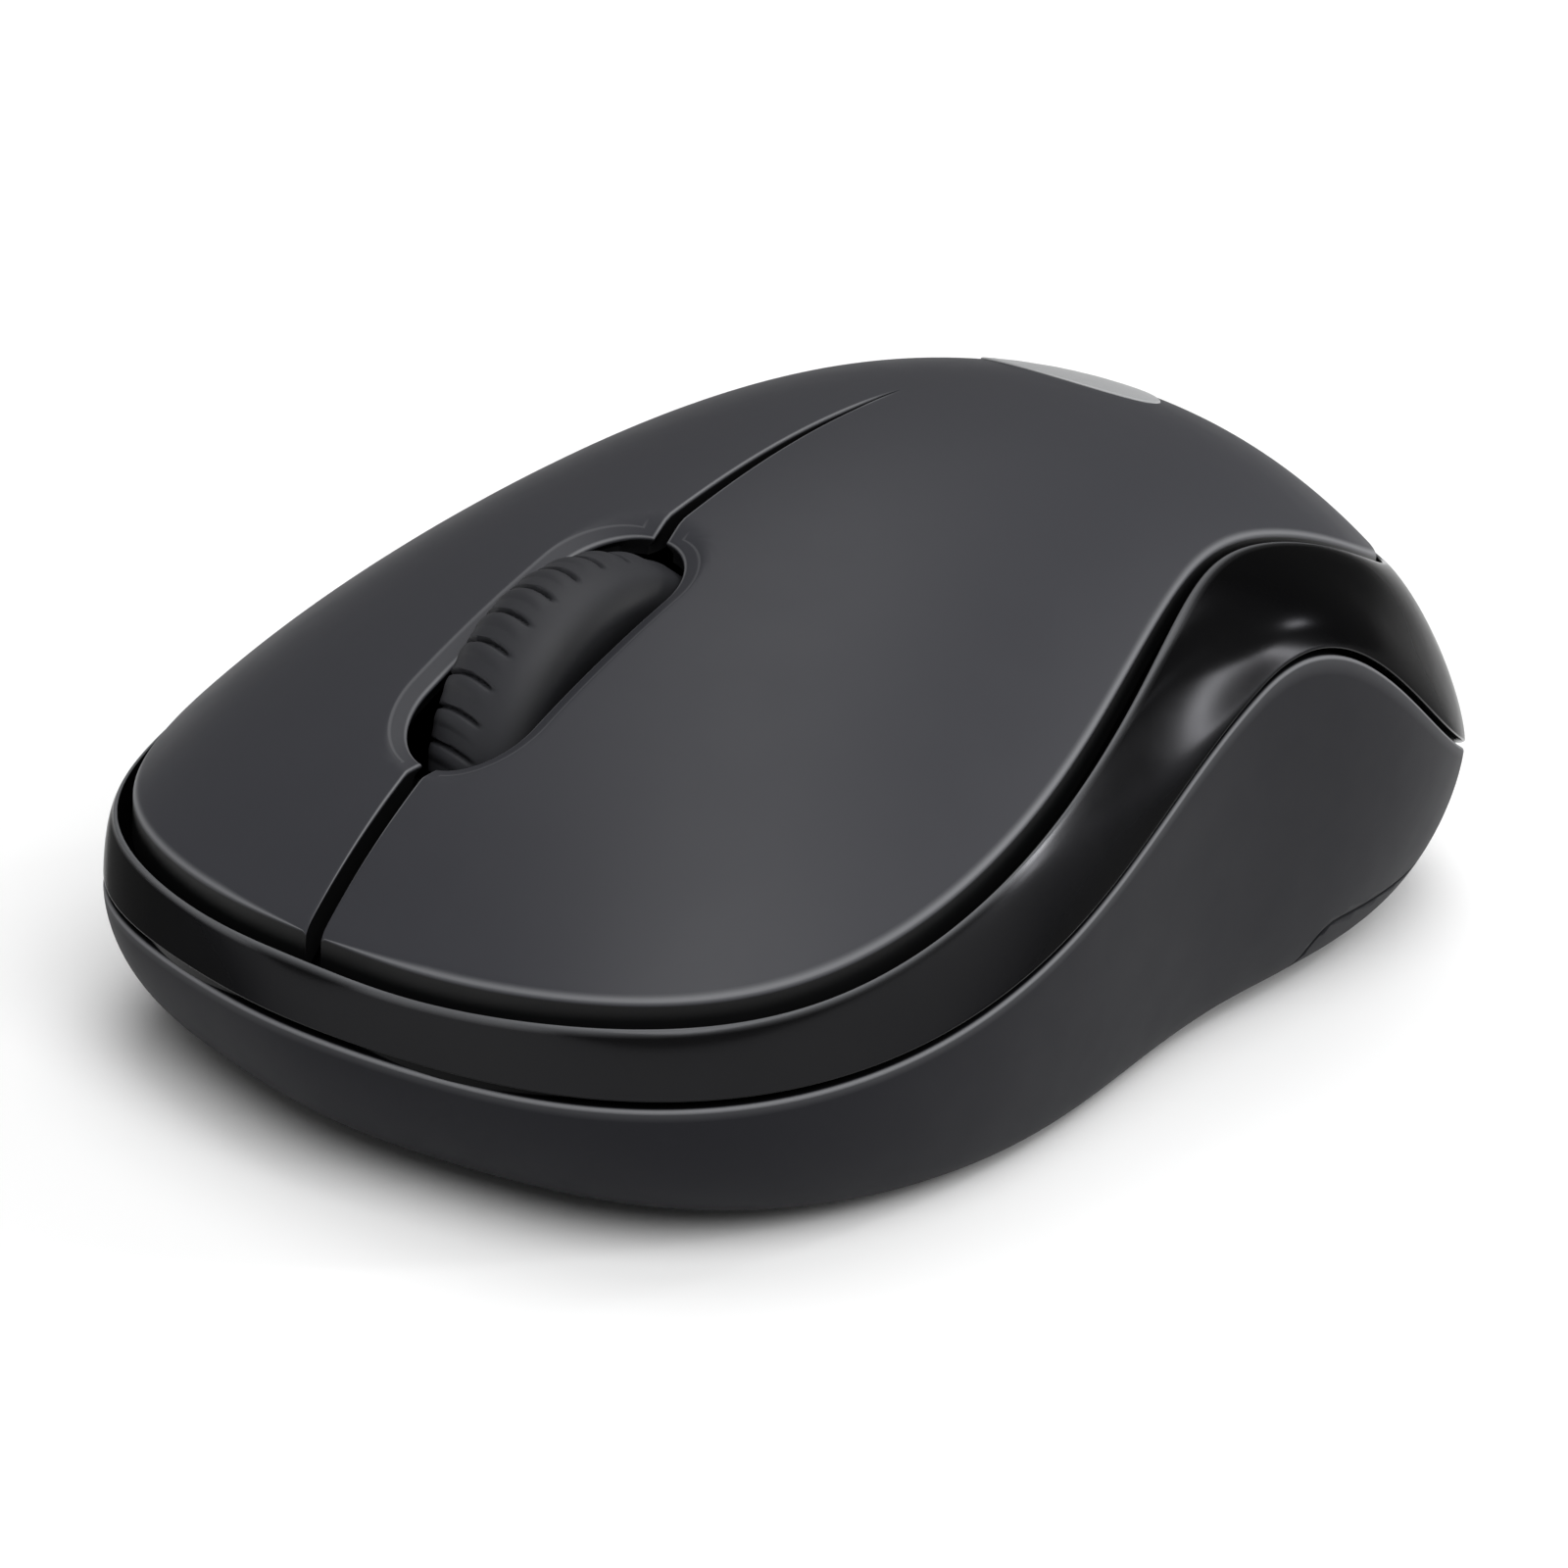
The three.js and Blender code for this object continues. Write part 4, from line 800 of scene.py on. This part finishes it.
def glide_foot(name, first, last):
    """A thin pad along the base's outline, with round ends and a rounded edge."""
    angles = [math.radians(lerp(first, last, i / FOOT_STEPS)) for i in range(FOOT_STEPS + 1)]

    def edge_at(t, inward):
        q = t % math.tau
        side = -1 if q > math.pi else 1
        p = outline(base_edge, mirror_angle(q), -inward)
        return Vector((side * p.x, p.y, 0))

    def end(t, turn):
        """Half an oval round the end of the pad."""
        a, b = edge_at(t, FOOT_INSET), edge_at(t, FOOT_INSET + FOOT_WIDTH)
        middle, spoke = (a + b) / 2, (a - b) / 2 * turn
        ahead = Vector((-spoke.y, spoke.x, 0))
        turns = [math.pi * k / FOOT_END_STEPS for k in range(1, FOOT_END_STEPS)]
        return [middle + spoke * math.cos(h) + ahead * math.sin(h) * FOOT_END for h in turns]

    points = [edge_at(t, FOOT_INSET) for t in angles]
    points += end(angles[-1], 1)
    points += [edge_at(t, FOOT_INSET + FOOT_WIDTH) for t in reversed(angles)]
    points += end(angles[0], -1)
    pad = prism(points, (0, 0, FOOT_THICK), "glide_foot_" + name)
    soften(pad, 40, 0.2)
    return pad


feet = {name: glide_foot(name, *span) for name, span in FOOT_SPANS.items()}

BADGE_Y = 21.6
BADGE_HALF = (6.4, 5.2)
BADGE_LIFT = 0.12
BADGE_SINK = 0.1
BADGE_SIDES = 96


def badge_column(i):
    """A plain oval plate that follows the palm."""
    a = math.tau * i / BADGE_SIDES

    def spot(share, lift):
        x = BADGE_HALF[0] * share * math.sin(a)
        y = BADGE_Y + BADGE_HALF[1] * share * math.cos(a)
        return Vector((x, y, cover_z(x, y) + lift))

    top = [spot(k, BADGE_LIFT) for k in (0, 0.3, 0.6, 0.85, 0.94, 0.975)]
    side = [spot(0.992, 0.8 * BADGE_LIFT), spot(1, 0.4 * BADGE_LIFT), spot(1, -BADGE_SINK)]
    under = [spot(0.5, -BADGE_SINK), spot(0, -BADGE_SINK)]
    return [*top, *side, *under, spot(0, BADGE_LIFT)]


badge = finish_mesh(mapped_grid(badge_column, BADGE_SIDES), "palm_badge")


# ------------------------------------------------------------------ wheel
def wheel_axle():
    low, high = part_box("wheel_hub")
    return Vector((0, (low.y + high.y) / 2, (low.z + high.z) / 2))


TYRE_ROWS = 36
TYRE_STEPS = 24         # round the tyre for each groove
TYRE_FULLNESS = 2.1     # 2 would be a half ellipse
FLANK_RADIUS = 6.3      # the flank reaches in over the hub's sides this far
HUB_HALF_WIDTH = 3.3
FLANK_LIP = 0.2         # the flank stands this far out from the hub
FLANK_ROWS = 3
FLANK_PAINTED_SHADE = 0.6       # how much painted shade the tyre gets towards its flanks
FLANK_FADE = (0.6, 0.98)
GROOVE_DEPTH = 0.45
GROOVE_MIDDLE = -1.5    # the grooves lie on one half of the width
GROOVE_REACH = 2.7
GROOVE_CURVE = -0.035   # how far round a groove's ends trail, in groove spacings per square mm
GROOVE_WIDTH = 0.17     # share of a spacing
RIDGE_END = 0.62        # the ridge after a groove ends at this share of a spacing
RIDGE_HEIGHT = 0.14


def groove_depth(phase, x):
    """A thin groove with a low ridge after it, both fading out towards their ends."""
    spot = (x - GROOVE_MIDDLE) / GROOVE_REACH
    fade = max(0, 1 - spot * spot)
    phase = (phase + GROOVE_CURVE * (x - GROOVE_MIDDLE) ** 2) % 1
    if phase < GROOVE_WIDTH:
        return GROOVE_DEPTH * min(1, 2 * fade) * math.sin(math.pi * phase / GROOVE_WIDTH)
    if phase < RIDGE_END:
        along_ridge = (phase - GROOVE_WIDTH) / (RIDGE_END - GROOVE_WIDTH)
        return -RIDGE_HEIGHT * fade * math.sin(math.pi * along_ridge)
    return 0


def tyre():
    """Turned round the axle, with one row of points for each place across its width."""
    axle = wheel_axle() / MM
    around = GROOVES * TYRE_STEPS
    bore = WHEEL_RADIUS - TYRE_THICK
    hub, lip = HUB_HALF_WIDTH, HUB_HALF_WIDTH + FLANK_LIP

    def across(j):
        """A row's place across the tyre, from -1 to 1."""
        return math.sin(math.pi / 2 * (2 * j / TYRE_ROWS - 1))

    def column(i):
        a = 2 * math.pi * i / around
        phase = (i % TYRE_STEPS) / TYRE_STEPS
        rows = [(-hub, bore), (-hub, FLANK_RADIUS), (-lip, FLANK_RADIUS)]
        for j in range(TYRE_ROWS + 1):
            u = across(j)
            x = u * WHEEL_HALF_WIDTH
            fall = TYRE_ROLL * (1 - max(0, 1 - abs(u) ** TYRE_FULLNESS) ** (1 / TYRE_FULLNESS))
            rows.append((x, WHEEL_RADIUS - fall - groove_depth(phase, x)))
        rows += [(lip, FLANK_RADIUS), (hub, FLANK_RADIUS), (hub, bore)]
        rows.append(rows[0])
        return [
            (x, axle.y - SHIFT_Y - r * math.sin(a), axle.z + r * math.cos(a))
            for x, r in rows
        ]

    def flank(i, row):
        """Painted shade: the tread darkens towards its flanks, and the flank lips and hub sides are
        painted black.
        """
        j = row - FLANK_ROWS
        if j < 0 or j > TYRE_ROWS:
            return -1
        return -FLANK_PAINTED_SHADE * smoothstep(abs(across(j)), *FLANK_FADE)

    return finish_mesh(mapped_grid(column, around, painted_light_rows=flank), "wheel_tyre_grooved", 50)


wheel_tyre = tyre()

# ------------------------------------------------------------------ camera
CAMERA_AZIMUTH = 38.71
CAMERA_ELEVATION = 19.995
CAMERA_ROLL = 3.893
CAMERA_DISTANCE = 300
CAMERA_AIM = (-2.18, -2.93, 12.83)
CAMERA_LENS = 107.38


def make_camera():
    data = bpy.data.cameras.new("camera")
    data.lens = CAMERA_LENS
    data.sensor_width = 36
    data.clip_start = 0.01
    data.clip_end = 20
    camera = bpy.data.objects.new("camera", data)
    bpy.context.scene.collection.objects.link(camera)
    a, e = math.radians(CAMERA_AZIMUTH), math.radians(CAMERA_ELEVATION)
    back = Vector((math.sin(a) * math.cos(e), -math.cos(a) * math.cos(e), math.sin(e)))
    turn = back.to_track_quat("Z", "Y").to_matrix().to_4x4()
    roll = Matrix.Rotation(math.radians(CAMERA_ROLL), 4, "Z")
    spot = place(CAMERA_AIM) + back * CAMERA_DISTANCE * MM
    camera.matrix_world = Matrix.Translation(spot) @ turn @ roll
    bpy.context.scene.camera = camera


make_camera()


# ------------------------------------------------------------------ finishes
def new_material(name, roughness, metallic=0.0, color=None, specular=0.5):
    material = bpy.data.materials.new(name)
    material.use_nodes = True
    tree = material.node_tree
    shader = next(n for n in tree.nodes if n.type == "BSDF_PRINCIPLED")
    shader.inputs["Roughness"].default_value = roughness
    shader.inputs["Metallic"].default_value = metallic
    shader.inputs["Specular IOR Level"].default_value = specular
    if color:
        shader.inputs["Base Color"].default_value = (*color, 1)
    return material, tree, shader


def noise(tree, scale, detail):
    where = tree.nodes.new("ShaderNodeTexCoord")
    node = tree.nodes.new("ShaderNodeTexNoise")
    node.inputs["Scale"].default_value = scale
    node.inputs["Detail"].default_value = detail
    tree.links.new(where.outputs["Object"], node.inputs["Vector"])
    return node.outputs["Fac"]


def mapped(tree, value, low, high):
    """A noise's usual range, spread out to new limits."""
    node = tree.nodes.new("ShaderNodeMapRange")
    node.inputs["From Min"].default_value = 0.3
    node.inputs["From Max"].default_value = 0.7
    node.inputs["To Min"].default_value = low
    node.inputs["To Max"].default_value = high
    tree.links.new(value, node.inputs["Value"])
    return node.outputs["Result"]


def between(tree, share, a, b):
    """A colour that goes from a to b. Each of them is three numbers or another node's output."""
    node = tree.nodes.new("ShaderNodeMix")
    node.data_type = "RGBA"
    for socket, value in ((node.inputs[6], a), (node.inputs[7], b)):
        if isinstance(value, tuple):
            socket.default_value = (*value, 1)
        else:
            tree.links.new(value, socket)
    tree.links.new(share, node.inputs[0])
    return node.outputs[2]


def painted_light_share(tree, sign):
    """Where a piece's rims get a painted highlight, or with a minus sign, where its walls get painted
    shade.
    """
    node = tree.nodes.new("ShaderNodeAttribute")
    node.attribute_name = "rim"
    times = tree.nodes.new("ShaderNodeMath")
    times.operation = "MULTIPLY"
    times.use_clamp = True
    times.inputs[1].default_value = sign
    tree.links.new(node.outputs["Fac"], times.inputs[0])
    return times.outputs[0]


def bumped(tree, shader, value, depth_mm):
    node = tree.nodes.new("ShaderNodeBump")
    node.inputs["Distance"].default_value = depth_mm * MM
    tree.links.new(value, node.inputs["Height"])
    tree.links.new(node.outputs["Normal"], shader.inputs["Normal"])


# near black that paints the shade on walls in gaps and hollows and on the tyre's flanks
PAINTED_SHADE_BLACK = (0.003, 0.003, 0.0033)
CLOUD_SCALE = 60        # of the tone's soft clouds
UNEVEN_SCALE = 240      # and of the roughness


def shaded(color, factor):
    return tuple(c * factor for c in color)


def grained(
    name, color, roughness, grain_mm=0.12, depth_mm=0.004, spread_of_tone=0.12, wear=0.06, rim=None, **kind
):
    """Moulded material: a fine grain in relief, soft clouds of tone, uneven roughness, and with a rim
    colour, a painted highlight along rims and painted shade on walls.
    """
    material, tree, shader = new_material(name, roughness, **kind)
    clouds = mapped(tree, noise(tree, CLOUD_SCALE, 4), 0, 1)
    tone = between(tree, clouds, shaded(color, 1 - spread_of_tone), shaded(color, 1 + spread_of_tone))
    # painted highlight on rims, then painted shade on walls
    if rim:
        tone = between(tree, painted_light_share(tree, 1), tone, rim)
        tone = between(tree, painted_light_share(tree, -1), tone, PAINTED_SHADE_BLACK)
    tree.links.new(tone, shader.inputs["Base Color"])
    rough = mapped(tree, noise(tree, UNEVEN_SCALE, 3), roughness - wear, roughness + wear)
    tree.links.new(rough, shader.inputs["Roughness"])
    bumped(tree, shader, noise(tree, 1 / (grain_mm * MM), 2), depth_mm)
    return material


BAND_METALLIC = 0.88    # the rest is a faint diffuse black
BAND_SLANT = 0.2        # how much of the mirror's growth at a slant is left


def piano_black():
    """Deep gloss that mirrors the room dimly, also at a slant. Rims carry a painted highlight and walls in
    the gap painted shade, both in plain non-metallic resin.
    """
    # the rim colour is a painted highlight
    material = grained(
        "band gloss", (0.017, 0.017, 0.018), 0.2, 2.5, 0.001, 0.1, 0.02,
        rim=(0.11, 0.112, 0.118), specular=0.17,
    )
    tree = material.node_tree
    shader = next(n for n in tree.nodes if n.type == "BSDF_PRINCIPLED")
    shader.inputs["Specular Tint"].default_value = (BAND_SLANT, BAND_SLANT, BAND_SLANT, 1)
    rim = next(n for n in tree.nodes if n.type == "ATTRIBUTE")
    plain = tree.nodes.new("ShaderNodeMath")
    plain.operation = "ABSOLUTE"
    tree.links.new(rim.outputs["Fac"], plain.inputs[0])
    gloss = tree.nodes.new("ShaderNodeMath")
    gloss.operation = "SUBTRACT"
    gloss.use_clamp = True
    gloss.inputs[0].default_value = BAND_METALLIC
    tree.links.new(plain.outputs[0], gloss.inputs[1])
    tree.links.new(gloss.outputs[0], shader.inputs["Metallic"])
    return material


finishes = {
    # each rim colour is a painted highlight along rounded rims; walls get painted shade
    "cover_plastic": grained(
        "cover soft-touch", (0.032, 0.0326, 0.038), 0.48, 0.1, 0.002, 0.02, 0.02,
        rim=(0.14, 0.142, 0.15), specular=0.24,
    ),
    "case_plastic": grained(
        "case satin", (0.011, 0.0112, 0.0138), 0.55, 0.12, 0.002, 0.03, 0.02,
        rim=(0.16, 0.162, 0.17), specular=0.09,
    ),
    "gloss_band": piano_black(),
    "wheel_rubber": grained(
        # the tyre's rim colour never shows, as its weights only give painted shade
        "wheel rubber", (0.026, 0.0265, 0.03), 0.55, 0.08, 0.002, 0.03, 0.03,
        rim=(0.03, 0.03, 0.03), specular=0.25,
    ),
    "badge_print": grained("badge print", (0.34, 0.345, 0.35), 0.4, 0.2, 0.002, 0.04, 0.04),
    "inner_plastic": grained("inner plastic", (0.006, 0.006, 0.0065), 0.6, specular=0.2),
    "glide_foot": grained("glide foot", (0.012, 0.012, 0.013), 0.35, 0.2, 0.004, 0.2, 0.08),
    "label_film": grained("label film", (0.45, 0.45, 0.43), 0.4, 0.3, 0.001, 0.05),
    "steel": grained("plated steel", (0.6, 0.6, 0.61), 0.28, 0.1, 0.003, 0.08, 0.08, metallic=1.0),
    "switch_housing": grained("switch housing", (0.012, 0.012, 0.013), 0.5),
    "plunger_plastic": grained("plunger", (0.6, 0.59, 0.54), 0.45),
    "slider_key": grained("slider key", (0.35, 0.03, 0.02), 0.45),
    "cell_wrap": grained("cell wrap", (0.02, 0.1, 0.065), 0.3, 0.5, 0.002),
    "board_laminate": grained("board laminate", (0.01, 0.1, 0.035), 0.35, 0.4, 0.01, 0.2),
    "chip": grained("chip resin", (0.01, 0.01, 0.011), 0.5, 0.06, 0.004),
}


def clear_plastic():
    material, tree, shader = new_material("clear lens", 0.08, color=(0.86, 0.9, 0.92))
    shader.inputs["Transmission Weight"].default_value = 1.0
    shader.inputs["IOR"].default_value = 1.49
    bumped(tree, shader, noise(tree, 500, 2), 0.003)
    return material


finishes["clear_lens"] = clear_plastic()
node_slots = {s["node"]: s["material_slot"] for s in frame["record"]["subparts"]}


def paint(piece, slot):
    piece.data.materials.clear()
    piece.data.materials.append(finishes[slot])


for node_name, node in frame["nodes"].items():
    node.data.materials.clear()
    node.data.materials.append(finishes[node_slots[node_name]])

for piece, body, nodes in (
    (cover_left, "left_button", ("left_button", "palm_cover")),
    (cover_right, "right_button", ("right_button", "palm_cover")),
):
    paint(piece, "cover_plastic")
    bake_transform(piece)
    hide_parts(*nodes)

paint(band, "gloss_band")
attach(band, "case")
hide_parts("side_band")
for piece in (case_shell, ribs):
    paint(piece, "case_plastic")
    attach(piece, "case")
    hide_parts("bottom_case")
paint(door_panel, "case_plastic")
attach(door_panel, "battery_door")
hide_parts("battery_door")
for name, pad in feet.items():
    paint(pad, "glide_foot")
    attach(pad, "case" if name == "front" else "battery_door")
    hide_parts("foot_" + name)
badge.data.materials.append(finishes["badge_print"])
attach(badge, "case")
paint(wheel_tyre, "wheel_rubber")
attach(wheel_tyre, "wheel")
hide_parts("wheel_tyre")


# ------------------------------------------------------------------ studio
FLOOR_HALF = 6          # metres


def make_floor():
    bm = bmesh.new()
    bmesh.ops.create_grid(bm, x_segments=1, y_segments=1, size=FLOOR_HALF)
    floor = finish_mesh(bm, "studio_floor")
    material, tree, shader = new_material("pale floor", 0.9, specular=0.2)
    clouds = mapped(tree, noise(tree, 3, 2), 0, 1)
    tone = between(tree, clouds, (0.91, 0.91, 0.91), (0.93, 0.93, 0.93))
    tree.links.new(tone, shader.inputs["Base Color"])
    floor.data.materials.append(material)


STRIP_WIDTH = 0.03


def strip_light(name, end_a, end_b, power):
    """A long thin lamp between two ends, facing the object."""
    a, b = Vector(end_a), Vector(end_b)
    middle = (a + b) / 2
    data = bpy.data.lights.new(name, "AREA")
    data.shape = "RECTANGLE"
    data.size, data.size_y = (b - a).length, STRIP_WIDTH
    data.energy = power
    lamp = bpy.data.objects.new(name, data)
    bpy.context.scene.collection.objects.link(lamp)
    length_way = (b - a).normalized()
    back = (middle - length_way * middle.dot(length_way)).normalized()
    turn = Matrix((length_way, back.cross(length_way), back)).transposed().to_4x4()
    lamp.matrix_world = Matrix.Translation(middle) @ turn
    lamp.visible_camera = False


def sun_light(name, direction, angle, power):
    """A far lamp that shines from a direction. The wider its angle, the softer its light."""
    data = bpy.data.lights.new(name, "SUN")
    data.energy = power
    data.angle = math.radians(angle)
    lamp = bpy.data.objects.new(name, data)
    bpy.context.scene.collection.objects.link(lamp)
    lamp.matrix_world = Vector(direction).to_track_quat("Z", "Y").to_matrix().to_4x4()


def make_world(brightness):
    world = bpy.data.worlds.new("studio")
    world.use_nodes = True
    background = world.node_tree.nodes["Background"]
    background.inputs["Color"].default_value = (1, 1, 1, 1)
    background.inputs["Strength"].default_value = brightness
    bpy.context.scene.world = world


make_floor()
make_world(0.2)
sun_light("key_soft", (0.45, -0.34, 0.83), 55, 2.5)
sun_light("pool_soft", (-0.2, 0.22, 0.95), 40, 0.8)
strip_light("shoulder_strip_low", (0.31, 0.3, 0.015), (0.31, 0.234, 0.254), 0.6)
strip_light("shoulder_strip_back", (0.181, 0.317, 0.284), (0.139, 0.367, 0.239), 0.15)
bpy.context.scene.view_settings.view_transform = "Standard"
